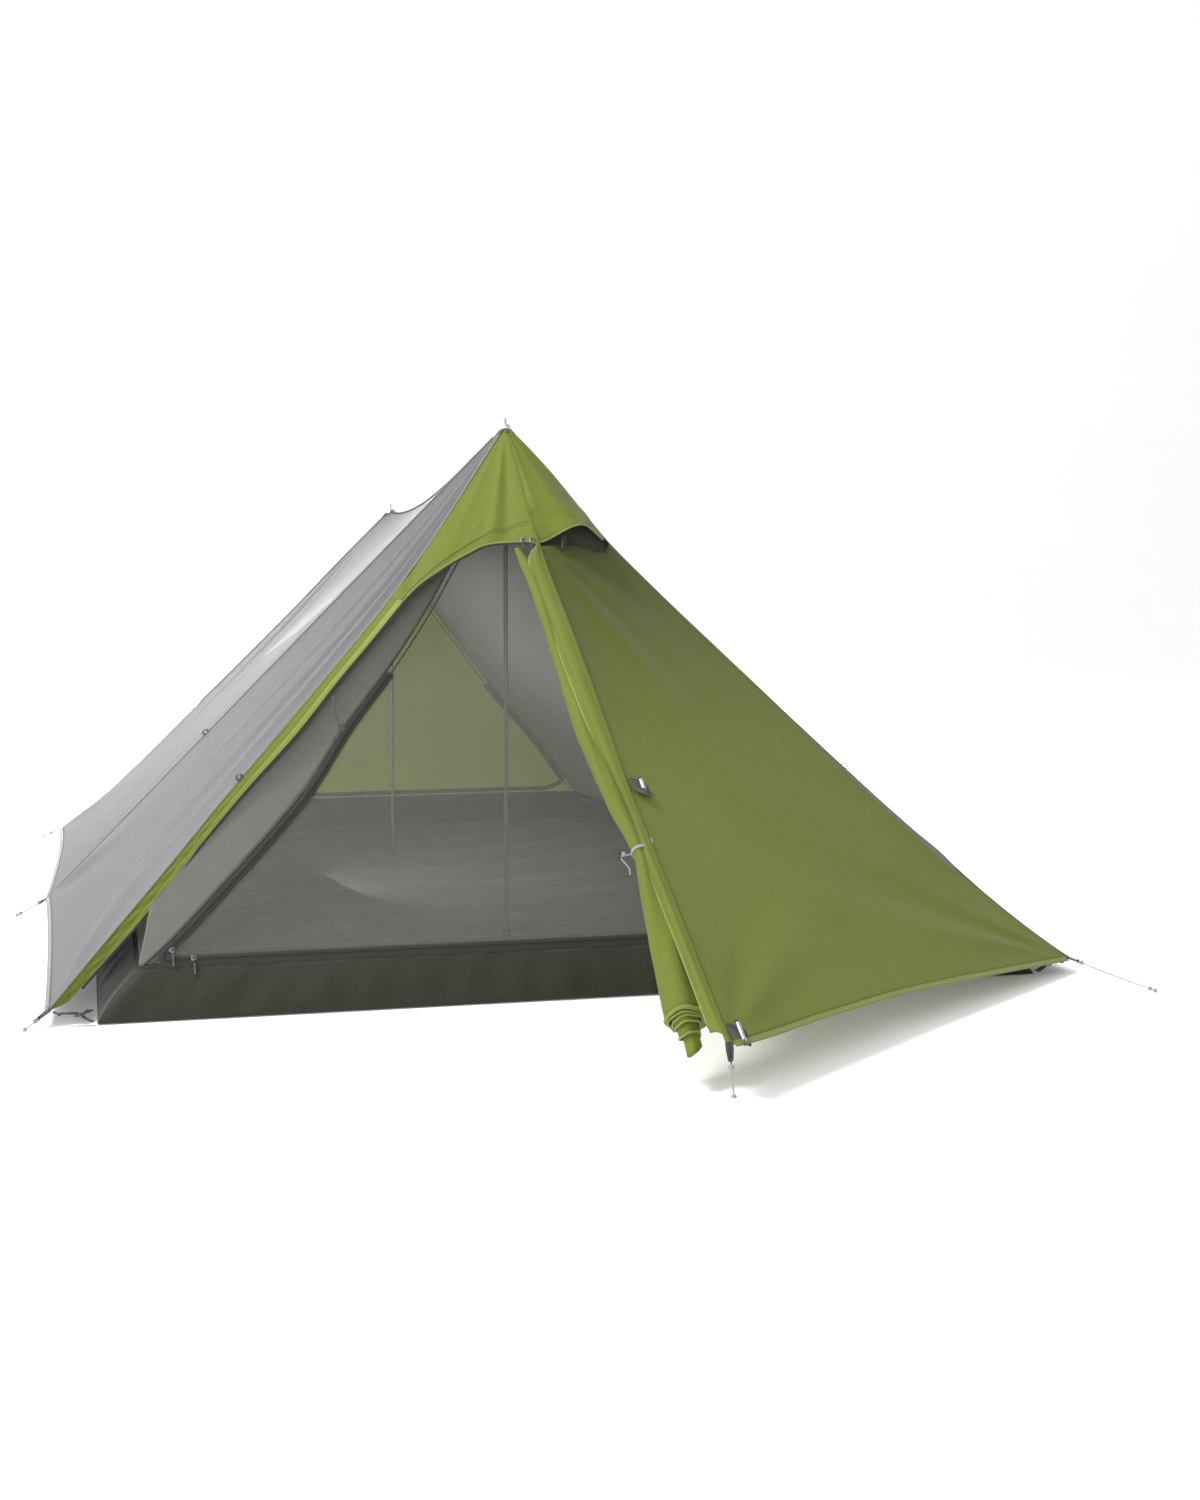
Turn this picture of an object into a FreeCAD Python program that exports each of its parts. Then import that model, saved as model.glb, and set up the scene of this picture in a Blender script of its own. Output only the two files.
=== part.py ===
import FreeCAD, Part
import math
import os

import Sketcher
from FreeCAD import Placement, Rotation, Vector

# Two-pole ridge tent: a fly over an inner tent, pitched.
# Millimetres. Origin on the ground at the middle of the inner floor, +Z up.
# -Y is the head end, which has the taller pole and the open door; +Y is the foot end.

os.makedirs("parts", exist_ok=True)
doc = FreeCAD.newDocument("ridge_tent")

DRIVING_DIMENSIONS = [
    # inner tent
    ("floor_length", 2760), ("floor_head_width", 1970), ("floor_foot_width", 1600),
    ("tub_height", 95), ("inner_head_height", 1100), ("inner_foot_height", 915),
    ("head_pole_inset", 710), ("foot_pole_inset", 695),
    # fly
    ("head_peak_height", 1180), ("foot_peak_height", 990),
    ("fly_head_half_width", 1080), ("fly_head_corner_y", 1360),
    ("fly_side_half_width", 1005), ("fly_side_y", 20),
    ("fly_foot_half_width", 895), ("fly_foot_corner_y", 1340),
    ("hem_height", 28), ("front_hem_reach", 2238), ("rear_hem_reach", 2080),
    ("front_hem_height", 92), ("rear_hem_height", 30), ("ridge_sag_y", 250), ("ridge_sag_height", 1005),
    # cloth, webbing and cord
    ("cloth", 1.2), ("floor_cloth", 2), ("webbing_width", 12), ("webbing", 1.6),
    ("guyline_radius", 1.5), ("knot_radius", 4),
    # door in the head vestibule
    ("arch_radius", 289), ("arch_centre_run", 555), ("strip_width", 78),
    ("strip_end_width", 60), ("strip_end_run", 1690), ("arch_sweep", 68),
    ("zip_width", 10), ("zip_thickness", 2), ("inner_zip_width", 22),
    ("head_zip_side_run", 760), ("foot_zip_side_run", 560),
    # zip sliders and pulls
    ("slider_length", 11), ("slider_width", 12), ("slider_height", 4.4),
    ("pull_radius", 1.2), ("pull_cord", 18), ("pull_grip_radius", 2.2), ("pull_grip", 9),
    # poles
    ("pole_radius", 4.7), ("pole_bore", 3.9), ("ferrule_radius", 3.8), ("ferrule_length", 80),
    ("head_pole_joint", 600), ("foot_pole_joint", 500), ("pole_foot_radius", 8),
    ("pole_foot_height", 20), ("spike_radius", 2.5), ("spike_length", 42), ("spike_rise", 16),
    # peaks and patches
    ("cap_radius", 42), ("cap_top_radius", 7), ("cap_height", 40), ("cap_wall", 2),
    ("ring_bore", 6), ("ring_radius", 20), ("floor_patch_radius", 60),
    ("seam_patch", 45), ("patch_cloth", 1.5),
    ("toggle_radius", 4.5), ("seam_toggle_length", 28), ("hem_toggle_length", 42),
    ("tie_toggle_radius", 3.5), ("tie_toggle_length", 18),
    # vent and corner hooks
    ("vent_lift", 60), ("strut_radius", 2.5), ("strut_length", 41),
    ("hook_length", 36), ("hook_width", 12), ("hook_thickness", 3),
]

dims = doc.addObject("Spreadsheet::Sheet", "Dims")
for row, (alias, number) in enumerate(DRIVING_DIMENSIONS, start=1):
    dims.set("A%d" % row, alias)
    dims.set("B%d" % row, str(number))
    dims.setAlias("B%d" % row, alias)
doc.recompute()

sub_parts = []
SEAM_GAP = 12       # how far a cloth corner stands back from the seam lines that meet there
PEAK_GAP = 60       # the same at a fly peak, where the peak cap covers the cloth ends
INNER_PEAK_GAP = 35
TAB_LENGTH = 24


def size(alias):
    """The number in the sheet under an alias."""
    return float(dims.get(alias))


def keep(feature, label):
    """Lists a finished feature as a sub-part; its label names its file."""
    feature.Label = label
    sub_parts.append(feature)
    return feature


def frame_at(origin, along, toward):
    """A placement at origin with local X pointing at along and local Y leaning to toward."""
    x_axis = (along - origin).normalize()
    normal = x_axis.cross(toward - origin).normalize()
    y_axis = normal.cross(x_axis)
    return Placement(origin, Rotation(x_axis, y_axis, normal, "ZXY"))


def pointing(origin, direction):
    """A placement at origin with local Z along direction."""
    return Placement(origin, Rotation(Vector(0, 0, 1), direction))


def mirrored_in_x(point, side):
    """The point on the left (side -1) or the right (side 1) of the tent."""
    return Vector(point.x * side, point.y, point.z)


def polygon_sketch(body, plane_role, corners):
    """A closed polygon whose every corner is held by two expressions, across and up."""
    sketch = body.newObject("Sketcher::SketchObject", body.Name + "_outline")
    plane = [f for f in body.Origin.OriginFeatures if f.Role == plane_role][0]
    sketch.AttachmentSupport = [(plane, "")]
    sketch.MapMode = "FlatFace"
    count = len(corners)
    ring = [Vector(100 * math.cos(2 * math.pi * k / count), 100 * math.sin(2 * math.pi * k / count), 0)
            for k in range(count)]
    for k in range(count):
        sketch.addGeometry(Part.LineSegment(ring[k], ring[(k + 1) % count]))
    for k in range(count):
        sketch.addConstraint(Sketcher.Constraint("Coincident", k, 2, (k + 1) % count, 1))
    for k, (across, up) in enumerate(corners):
        for kind, start, expression in (("DistanceX", ring[k].x, across), ("DistanceY", ring[k].y, up)):
            number = sketch.addConstraint(Sketcher.Constraint(kind, -1, 1, k, 1, start))
            sketch.setExpression("Constraints[%d]" % number, expression)
    return sketch


def padded(label, corners, thickness, placement, listed=True):
    """A flat piece: a polygon padded along local Z."""
    body = doc.addObject("PartDesign::Body", label)
    sketch = polygon_sketch(body, "XY_Plane", corners)
    pad = body.newObject("PartDesign::Pad", label + "_pad")
    pad.Profile = sketch
    pad.setExpression("Length", thickness)
    sketch.Visibility = False
    body.Placement = placement
    body.Label = label
    return keep(body, label) if listed else body


def turned(label, profile, placement, listed=True):
    """A round piece: a half outline, radius and height, turned about local Z."""
    body = doc.addObject("PartDesign::Body", label)
    sketch = polygon_sketch(body, "XZ_Plane", profile)
    turning = body.newObject("PartDesign::Revolution", label + "_turning")
    turning.Profile = sketch
    turning.ReferenceAxis = (sketch, ["V_Axis"])
    turning.Angle = 360
    body.Placement = placement
    return keep(body, label) if listed else body


def rod(label, radius, length, placement, listed=True):
    """A round bar along local Z."""
    bar = doc.addObject("Part::Cylinder", label)
    bar.setExpression("Radius", radius)
    bar.setExpression("Height", length)
    bar.Placement = placement
    return keep(bar, label) if listed else bar


def strap(label, start, end, width="Dims.webbing_width", thickness="Dims.webbing"):
    """A flat strap from start to end, its broad side as level as the run allows."""
    run = end - start
    across = Vector(0, 0, 1).cross(run)
    if across.Length < 0.2 * run.Length:
        across = Vector(1, 0, 0)
    bar = doc.addObject("Part::Box", label)
    bar.Length = run.Length
    bar.setExpression("Width", width)
    bar.setExpression("Height", thickness)
    place = frame_at(start, end, start + across)
    centring = Placement(Vector(0, -size("webbing_width") / 2, -size("webbing") / 2), Rotation())
    bar.Placement = place.multiply(centring)
    return bar


def group(label, members):
    """Several separate solids of one kind under one name."""
    bundle = doc.addObject("Part::Compound", label)
    bundle.Links = members
    return keep(bundle, label)


def drawn_in(corners, gaps):
    """Each corner moved towards the middle of them all by its own gap."""
    middle = sum(corners, Vector()) * (1.0 / len(corners))
    return [c + (middle - c).normalize() * gap for c, gap in zip(corners, gaps)]


def cloth(label, corners, facets, gaps=None):
    """A sheet of cloth, creased along the lines that its triangular facets share."""
    corners = drawn_in(corners, gaps or [SEAM_GAP] * len(corners))
    normals = [Vector() for _ in corners]
    for first, second, third in facets:
        normal = (corners[second] - corners[first]).cross(corners[third] - corners[first])
        for corner in (first, second, third):
            normals[corner] = normals[corner] + normal
    half = size("cloth") / 2
    front = [c + n.normalize() * half for c, n in zip(corners, normals)]
    back = [c - n * half for c, n in zip(corners, normals)]
    faces = []
    edges = {}
    for facet in facets:
        for side in (front, back):
            faces.append(Part.Face(Part.makePolygon([side[k] for k in facet] + [side[facet[0]]])))
        for start, end in zip(facet, facet[1:] + facet[:1]):
            edges[(start, end)] = True
    for start, end in edges:
        if (end, start) not in edges:
            for loop in ([front[start], front[end], back[end]], [front[start], back[end], back[start]]):
                faces.append(Part.Face(Part.makePolygon(loop + loop[:1])))
    solid = Part.makeSolid(Part.makeShell(faces))
    solid.fix(0.01, 0.01, 0.01)
    if solid.Volume < 0:
        solid.reverse()
    feature = doc.addObject("Part::Feature", label)
    feature.Shape = solid
    return keep(feature, label)


def tube_path(route):
    """Straight runs joined by tangent arcs as large as the two runs at each point allow."""
    edges = []
    start = route[0]
    for before, corner, after in zip(route, route[1:], route[2:]):
        arriving = (corner - before).normalize()
        leaving = (after - corner).normalize()
        turn = arriving.getAngle(leaving)
        reach = 0.45 * min((corner - before).Length, (after - corner).Length)
        radius = reach / math.tan(turn / 2)
        print("  bend radius %.0f mm" % radius)
        inward = (leaving - arriving).normalize()
        centre = corner + inward * (radius / math.cos(turn / 2))
        entry = corner - arriving * reach
        leave = corner + leaving * reach
        edges.append(Part.LineSegment(start, entry).toShape())
        edges.append(Part.Arc(entry, centre - inward * radius, leave).toShape())
        start = leave
    edges.append(Part.LineSegment(start, route[-1]).toShape())
    return Part.Wire(edges)


def guyline(label, route):
    """A taut cord from the hem to its stake, with the knot at its end."""
    radius = size("guyline_radius")
    path = tube_path(route)
    disc = Part.Face(Part.Wire(Part.makeCircle(radius, route[0], route[1] - route[0])))
    tube = path.makePipe(disc)
    expected = math.pi * radius ** 2 * path.Length
    print("%s: %.0f mm long, tube volume %.3f of expected" % (label, path.Length, tube.Volume / expected))
    knot = Part.makeSphere(size("knot_radius"), route[-1])
    feature = doc.addObject("Part::Feature", label)
    feature.Shape = tube.fuse(knot).removeSplitter()
    return keep(feature, label)


# ---- where the tent's corners are ----
half_floor = size("floor_length") / 2
head_peak = Vector(0, -half_floor + size("head_pole_inset"), size("head_peak_height"))
foot_peak = Vector(0, half_floor - size("foot_pole_inset"), size("foot_peak_height"))
inner_head_peak = Vector(0, head_peak.y, size("inner_head_height"))
inner_foot_peak = Vector(0, foot_peak.y, size("inner_foot_height"))
floor_head_right = Vector(size("floor_head_width") / 2, -half_floor, 0)
floor_foot_right = Vector(size("floor_foot_width") / 2, half_floor, 0)
fly_head_right = Vector(size("fly_head_half_width"), -size("fly_head_corner_y"), size("hem_height"))
fly_side_right = Vector(size("fly_side_half_width"), size("fly_side_y"), size("hem_height"))
fly_foot_right = Vector(size("fly_foot_half_width"), size("fly_foot_corner_y"), size("hem_height"))
front_hem = Vector(0, -size("front_hem_reach"), size("front_hem_height"))
rear_hem = Vector(0, size("rear_hem_reach"), size("rear_hem_height"))
ridge_low = Vector(0, size("ridge_sag_y"), size("ridge_sag_height"))
# The front seam hangs below a straight line from the peak to the hem.
seam_upper = Vector(0, -956, 920)
seam_lower = Vector(0, -1521, 540)
rear_seam = Vector(0, 1340, 545)


def up_the_wall(floor_corner, peak):
    """The point of a wall edge at the height of the tub's top."""
    return floor_corner + (peak - floor_corner) * (size("tub_height") / peak.z)


tub_head_right = up_the_wall(floor_head_right, inner_head_peak)
tub_foot_right = up_the_wall(floor_foot_right, inner_foot_peak)

# ---- floor and tub ----
padded(
    "floor_sheet",
    [
        ("-Dims.floor_head_width / 2", "-Dims.floor_length / 2"),
        ("Dims.floor_head_width / 2", "-Dims.floor_length / 2"),
        ("Dims.floor_foot_width / 2", "Dims.floor_length / 2"),
        ("-Dims.floor_foot_width / 2", "Dims.floor_length / 2"),
    ],
    "Dims.floor_cloth",
    Placement(),
)


def tub_wall(label, floor_start, floor_end, top_end, top_start):
    """One wall of the tub, standing on the floor sheet and clear of its neighbours."""
    lift = Vector(0, 0, size("floor_cloth") + size("cloth"))
    corners = [floor_start + lift, floor_end + lift, top_end - lift, top_start - lift]
    return cloth(label, corners, [(0, 1, 2), (0, 2, 3)])


tub_wall("tub_wall_head", mirrored_in_x(floor_head_right, -1), floor_head_right,
         tub_head_right, mirrored_in_x(tub_head_right, -1))
tub_wall("tub_wall_foot", mirrored_in_x(floor_foot_right, -1), floor_foot_right,
         tub_foot_right, mirrored_in_x(tub_foot_right, -1))
for side, name in ((-1, "left"), (1, "right")):
    tub_wall("tub_wall_" + name, mirrored_in_x(floor_head_right, side), mirrored_in_x(floor_foot_right, side),
             mirrored_in_x(tub_foot_right, side), mirrored_in_x(tub_head_right, side))
    cloth("inner_wall_" + name,
          [mirrored_in_x(tub_head_right, side), mirrored_in_x(tub_foot_right, side),
           inner_foot_peak, inner_head_peak],
          [(0, 1, 2), (0, 2, 3)],
          [SEAM_GAP, SEAM_GAP, INNER_PEAK_GAP, INNER_PEAK_GAP])

# ---- mesh doors and their zips, each in its own sloping wall ----
head_wall = frame_at(Vector(0, -half_floor, 0), floor_head_right, inner_head_peak)
foot_wall = frame_at(Vector(0, half_floor, 0), mirrored_in_x(floor_foot_right, -1), inner_foot_peak)
on_the_outside = Placement(Vector(0, 0, size("cloth") + 0.4), Rotation())


def mesh_door(label, wall, floor_width, inset, height):
    """A triangle of mesh above the zip, clear of the side walls and of the pole."""
    slope = "hypot(Dims.%s; Dims.%s)" % (inset, height)
    start = "(Dims.tub_height * %s / Dims.%s + Dims.inner_zip_width + 10)" % (slope, height)
    half_base = "(Dims.%s / 2 * (1 - %s / %s) - 25)" % (floor_width, start, slope)
    return padded(label,
                  [("-" + half_base, start), (half_base, start), ("0", "%s - 50" % slope)],
                  "Dims.cloth", wall)


mesh_door("mesh_door_head", head_wall, "floor_head_width", "head_pole_inset", "inner_head_height")
mesh_door("mesh_door_foot", foot_wall, "floor_foot_width", "foot_pole_inset", "inner_foot_height")


def door_zip(label, wall, floor_width, inset, height, side_run):
    """A U of zip tape: along the tub and up both sloping edges of the door."""
    run = "Dims." + side_run
    slope = "hypot(Dims.%s; Dims.%s)" % (inset, height)
    low = "(Dims.tub_height * %s / Dims.%s + 4)" % (slope, height)
    lean = "(Dims.%s / 2 / %s)" % (floor_width, slope)
    half_low = "(Dims.%s / 2 - %s * %s - 30)" % (floor_width, low, lean)
    band = "Dims.inner_zip_width"
    corners = [
        ("-%s" % half_low, low),
        (half_low, low),
        ("%s - %s * %s" % (half_low, run, lean), "%s + %s" % (low, run)),
        ("%s - %s * %s - %s" % (half_low, run, lean, band), "%s + %s" % (low, run)),
        ("%s - %s * (1 + %s)" % (half_low, band, lean), "%s + %s" % (low, band)),
        ("-%s + %s * (1 + %s)" % (half_low, band, lean), "%s + %s" % (low, band)),
        ("-%s + %s * %s + %s" % (half_low, run, lean, band), "%s + %s" % (low, run)),
        ("-%s + %s * %s" % (half_low, run, lean), "%s + %s" % (low, run)),
    ]
    return padded(label, corners, "Dims.zip_thickness", wall.multiply(on_the_outside), listed=False)


group("inner_door_zips", [
    door_zip("zip_head", head_wall, "floor_head_width", "head_pole_inset", "inner_head_height",
             "head_zip_side_run"),
    door_zip("zip_foot", foot_wall, "floor_foot_width", "foot_pole_inset", "inner_foot_height",
             "foot_zip_side_run"),
])

# ---- poles, one at each peak ----
PATCH_TOP = size("floor_cloth") + 0.2 + size("patch_cloth")
tube_start = PATCH_TOP + 0.2 + size("pole_foot_height")


def pole(name, peak, joint):
    """Lower and upper sections of one pole, with the foot, spike and ferrule that join them."""
    spike_base = peak.z + size("spike_rise") - size("spike_length")
    spans = [("lower", tube_start, size(joint)), ("upper", size(joint) + 0.3, spike_base)]
    for section, low, high in spans:
        turned("pole_%s_%s_section" % (name, section), [
            ("Dims.pole_bore", "0"),
            ("Dims.pole_radius", "0"),
            ("Dims.pole_radius", "%f" % (high - low)),
            ("Dims.pole_bore", "%f" % (high - low)),
        ], Placement(Vector(0, peak.y, low), Rotation()))
    foot = rod("pole_foot_" + name, "Dims.pole_foot_radius", "Dims.pole_foot_height",
               Placement(Vector(0, peak.y, PATCH_TOP + 0.1), Rotation()), listed=False)
    ferrule = rod("ferrule_" + name, "Dims.ferrule_radius", "Dims.ferrule_length",
                  Placement(Vector(0, peak.y, size(joint) - size("ferrule_length") / 2), Rotation()),
                  listed=False)
    spike = turned("spike_" + name, [
        ("0", "0.2"),
        ("Dims.pole_radius + 1", "0.2"),
        ("Dims.pole_radius + 1", "4"),
        ("Dims.spike_radius", "6"),
        ("Dims.spike_radius", "Dims.spike_length"),
        ("0", "Dims.spike_length"),
    ], Placement(Vector(0, peak.y, spike_base), Rotation()), listed=False)
    return foot, ferrule, spike


head_pole = pole("head", head_peak, "head_pole_joint")
foot_pole = pole("foot", foot_peak, "foot_pole_joint")
for label, first, second in zip(("pole_feet", "pole_ferrules", "pole_spikes"), head_pole, foot_pole):
    group(label, [first, second])


def peak_cap(name, peak):
    """A hollow cone of webbing over the peak, open at the top for the pole's spike."""
    return turned(name, [
        ("Dims.cap_radius - Dims.cap_wall", "0"),
        ("Dims.cap_radius", "0"),
        ("Dims.cap_top_radius", "Dims.cap_height"),
        ("Dims.cap_top_radius - Dims.cap_wall", "Dims.cap_height"),
    ], Placement(peak - Vector(0, 0, size("cap_height")), Rotation()), listed=False)


def flat_ring(name, centre, bore, radius, thickness):
    """A flat washer that lies level."""
    return turned(name, [(bore, "0"), (radius, "0"), (radius, thickness), (bore, thickness)],
                  Placement(centre, Rotation()), listed=False)


group("fly_peak_caps", [peak_cap("cap_head", head_peak), peak_cap("cap_foot", foot_peak)])
group("inner_peak_rings", [
    flat_ring("ring_head", inner_head_peak, "Dims.ring_bore", "Dims.ring_radius", "Dims.patch_cloth"),
    flat_ring("ring_foot", inner_foot_peak, "Dims.ring_bore", "Dims.ring_radius", "Dims.patch_cloth"),
])

# ---- fly sides ----
for side, name in ((-1, "left"), (1, "right")):
    head_corner, side_corner, foot_corner = (
        mirrored_in_x(corner, side) for corner in (fly_head_right, fly_side_right, fly_foot_right))
    cloth("fly_%s_head_panel" % name, [head_peak, head_corner, side_corner], [(0, 1, 2)],
          [PEAK_GAP, SEAM_GAP, SEAM_GAP])
    cloth("fly_%s_foot_panel" % name, [head_peak, side_corner, foot_corner, foot_peak, ridge_low],
          [(0, 1, 4), (4, 1, 2), (4, 2, 3)],
          [PEAK_GAP, SEAM_GAP, SEAM_GAP, PEAK_GAP, SEAM_GAP])
    cloth("vestibule_foot_" + name, [foot_peak, foot_corner, rear_hem, rear_seam],
          [(0, 1, 3), (3, 1, 2)],
          [PEAK_GAP, SEAM_GAP, SEAM_GAP, SEAM_GAP])

# ---- head vestibule: right panel, vent hood over its top, and the door's frame on the left ----
vent_edge = Vector(190, -850, 925)
cloth("vestibule_head_panel", [seam_upper, vent_edge, fly_head_right, front_hem, seam_lower],
      [(0, 1, 2), (0, 2, 4), (4, 2, 3)])
vent_plane = frame_at(seam_upper, vent_edge, fly_head_right)
outward = vent_plane.Rotation.multVec(Vector(0, 0, 1))
outward = outward if outward.z > 0 else outward * -1
CROWN_SHIFT = Vector(25, 20, 0)     # the prop leans the hood's edge away from the seam
vent_crown = (seam_upper + vent_edge) * 0.5 + outward * size("vent_lift") + CROWN_SHIFT
cloth("vent_hood", [head_peak, seam_upper, vent_crown, vent_edge], [(0, 1, 2), (0, 2, 3)],
      [PEAK_GAP, SEAM_GAP, 0, SEAM_GAP])

fly_head_left = mirrored_in_x(fly_head_right, -1)
door_plane = frame_at(head_peak, fly_head_left, seam_upper)
below_plane = door_plane.multiply(Placement(Vector(0, 0, -size("cloth")), Rotation()))
arch_middle = Vector(size("arch_centre_run"), size("strip_width") + size("arch_radius"), 0)
# The arch panel stands a little back from the seam to the vent hood.
seam_corner = door_plane.inverse().multVec(seam_upper) - Vector(1.7, 4.4, 0)
blank = padded("arch_blank", [
    ("75", "8"),
    ("%f" % seam_corner.x, "%f" % seam_corner.y),
    ("Dims.arch_centre_run", "Dims.strip_width + Dims.arch_radius"),
    ("Dims.arch_centre_run", "4"),
], "Dims.cloth", below_plane, listed=False)
through_the_cloth = Placement(arch_middle - Vector(0, 0, 3 * size("cloth")), Rotation())
arch_tool = rod("arch_opening", "Dims.arch_radius", "Dims.cloth * 5",
                door_plane.multiply(through_the_cloth), listed=False)
arch_panel = doc.addObject("Part::Cut", "door_arch_panel")
arch_panel.Base = blank
arch_panel.Tool = arch_tool
keep(arch_panel, "door_arch_panel")
padded("door_edge_strip", [
    ("Dims.arch_centre_run + 3", "4"),
    ("Dims.strip_end_run", "4"),
    ("Dims.strip_end_run", "Dims.strip_end_width"),
    ("Dims.arch_centre_run + 3", "Dims.strip_width"),
], "Dims.cloth", below_plane)

# The zip follows the arch and then the strip's free edge, on the outer side.
ZIP_LIFT = 0.4
ZIP_OVERLAP = 6     # how much of the tape lies on the cloth
arch_turn = door_plane.multiply(
    Placement(arch_middle + Vector(0, 0, ZIP_LIFT), Rotation(Vector(0, 0, 1), 270 - size("arch_sweep"))))
outer_sector = rod("zip_arc_outer", "Dims.arch_radius + %d" % ZIP_OVERLAP, "Dims.zip_thickness", arch_turn,
                   listed=False)
outer_sector.setExpression("Angle", "Dims.arch_sweep")
inner_disc = rod("zip_arc_inner", "Dims.arch_radius + %d - Dims.zip_width" % ZIP_OVERLAP,
                 "Dims.zip_thickness", arch_turn, listed=False)
zip_arc = doc.addObject("Part::Cut", "zip_arc")
zip_arc.Base = outer_sector
zip_arc.Tool = inner_disc
zip_run = doc.addObject("Part::Box", "zip_run")
zip_run.setExpression("Length", "Dims.strip_end_run - Dims.arch_centre_run")
zip_run.setExpression("Width", "Dims.zip_width")
zip_run.setExpression("Height", "Dims.zip_thickness")
zip_run.Placement = door_plane.multiply(
    Placement(Vector(size("arch_centre_run"), size("strip_width") - ZIP_OVERLAP, ZIP_LIFT), Rotation()))
zip_track = doc.addObject("Part::Fuse", "door_zip_track")
zip_track.Base = zip_arc
zip_track.Tool = zip_run
keep(zip_track, "door_zip_track")

# ---- the rolled-up door, hanging inside the front seam, and its tie ----
roll_stations = [
    # (the middle of the roll, its radius there)
    (Vector(-30, -990, 866), 13),
    (Vector(-36, -1500, 511), 24),
    (Vector(-34, -1775, 345), 15),
    (Vector(-46, -2000, 148), 38),
    (Vector(-50, -2105, 78), 46),
]
roll_sections = []
for number, (centre, radius) in enumerate(roll_stations):
    before = roll_stations[max(number - 1, 0)][0]
    after = roll_stations[min(number + 1, len(roll_stations) - 1)][0]
    roll_sections.append(Part.Wire(Part.makeCircle(radius, centre, after - before)))
rolled_door = doc.addObject("Part::Feature", "rolled_door")
rolled_door.Shape = Part.makeLoft(roll_sections, True, True)
keep(rolled_door, "rolled_door")

tie_centre, tie_radius = roll_stations[2]
roll_axis = roll_stations[3][0] - roll_stations[1][0]
tie_band = doc.addObject("Part::Torus", "door_tie_band")
tie_band.Radius1 = tie_radius + 3
tie_band.Radius2 = 1.5
tie_band.Placement = pointing(tie_centre, roll_axis)
keep(tie_band, "door_tie_band")
tie_toggle_middle = tie_centre + Vector(-tie_radius - 10, -6, 6)
rod("door_tie_toggle", "Dims.tie_toggle_radius", "Dims.tie_toggle_length",
    Placement(tie_toggle_middle - Vector(0, 0, size("tie_toggle_length") / 2), Rotation()))

# ---- patches and tube toggles on the front seam, patches under the poles ----
seam_frame = frame_at(seam_lower, front_hem, fly_head_right)
seam_length = (front_hem - seam_lower).Length
patch_lift = size("cloth") + 0.4
MID_PATCH_RUN = 108         # from the seam's lower bend to the patch
HEM_PATCH_RUN = seam_length - 60
PATCH_STEP_IN = 10          # from the seam to the patch
TOGGLE_WALL = 1.2


def seam_patch(name, run):
    """A square of stiff cloth on the outer side of the right panel, beside the seam."""
    on_the_panel = Placement(Vector(run, PATCH_STEP_IN, patch_lift), Rotation())
    return padded(name, [
        ("0", "0"),
        ("Dims.seam_patch", "0"),
        ("Dims.seam_patch", "Dims.seam_patch"),
        ("0", "Dims.seam_patch"),
    ], "Dims.patch_cloth", seam_frame.multiply(on_the_panel), listed=False)


def seam_toggle(label, run, length):
    """A tube lying along the seam on top of its patch."""
    middle = Vector(run + size("seam_patch") / 2, PATCH_STEP_IN + size("seam_patch") / 2,
                    patch_lift + size("patch_cloth") + 0.6 + size("toggle_radius"))
    lying = Placement(middle - Vector(size(length) / 2, 0, 0), Rotation(Vector(0, 0, 1), Vector(1, 0, 0)))
    return turned(label, [
        ("Dims.toggle_radius - %f" % TOGGLE_WALL, "0"),
        ("Dims.toggle_radius", "0"),
        ("Dims.toggle_radius", "Dims.%s" % length),
        ("Dims.toggle_radius - %f" % TOGGLE_WALL, "Dims.%s" % length),
    ], seam_frame.multiply(lying))


floor_patches = [
    rod("floor_patch_" + name, "Dims.floor_patch_radius", "Dims.patch_cloth",
        Placement(Vector(0, peak.y, size("floor_cloth") + 0.2), Rotation()), listed=False)
    for name, peak in (("head", head_peak), ("foot", foot_peak))
]
group("reinforcement_patches",
      floor_patches + [seam_patch("patch_mid", MID_PATCH_RUN), seam_patch("patch_hem", HEM_PATCH_RUN)])
seam_toggle("seam_toggle_mid", MID_PATCH_RUN, "seam_toggle_length")
seam_toggle("seam_toggle_hem", HEM_PATCH_RUN, "hem_toggle_length")

# ---- vent strut, from the panel up to the hood's edge ----
strut_foot = seam_upper + (vent_edge - seam_upper) * 0.30 + Vector(0, -30, -22) + outward * 5
strut_head = seam_upper + (vent_crown - seam_upper) * 0.50 - outward * 8
rod("vent_strut", "Dims.strut_radius", "Dims.strut_length", pointing(strut_foot, strut_head - strut_foot))

# ---- zip sliders with their pulls ----
slider_outline = [
    ("-Dims.slider_length / 2", "-Dims.slider_width / 2 + 2"),
    ("-Dims.slider_length / 2 + 2", "-Dims.slider_width / 2"),
    ("Dims.slider_length / 2", "-Dims.slider_width / 4"),
    ("Dims.slider_length / 2", "Dims.slider_width / 4"),
    ("-Dims.slider_length / 2 + 2", "Dims.slider_width / 2"),
    ("-Dims.slider_length / 2", "Dims.slider_width / 2 - 2"),
]
pull_profile = [
    ("0", "0"),
    ("Dims.pull_radius", "0"),
    ("Dims.pull_radius", "Dims.pull_cord"),
    ("Dims.pull_grip_radius", "Dims.pull_cord + 1"),
    ("Dims.pull_grip_radius", "Dims.pull_cord + Dims.pull_grip"),
    ("0", "Dims.pull_cord + Dims.pull_grip"),
]
SLIDER_LIFT = ZIP_LIFT + size("zip_thickness") + 0.5
PULL_CLEARANCE = 2


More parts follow.
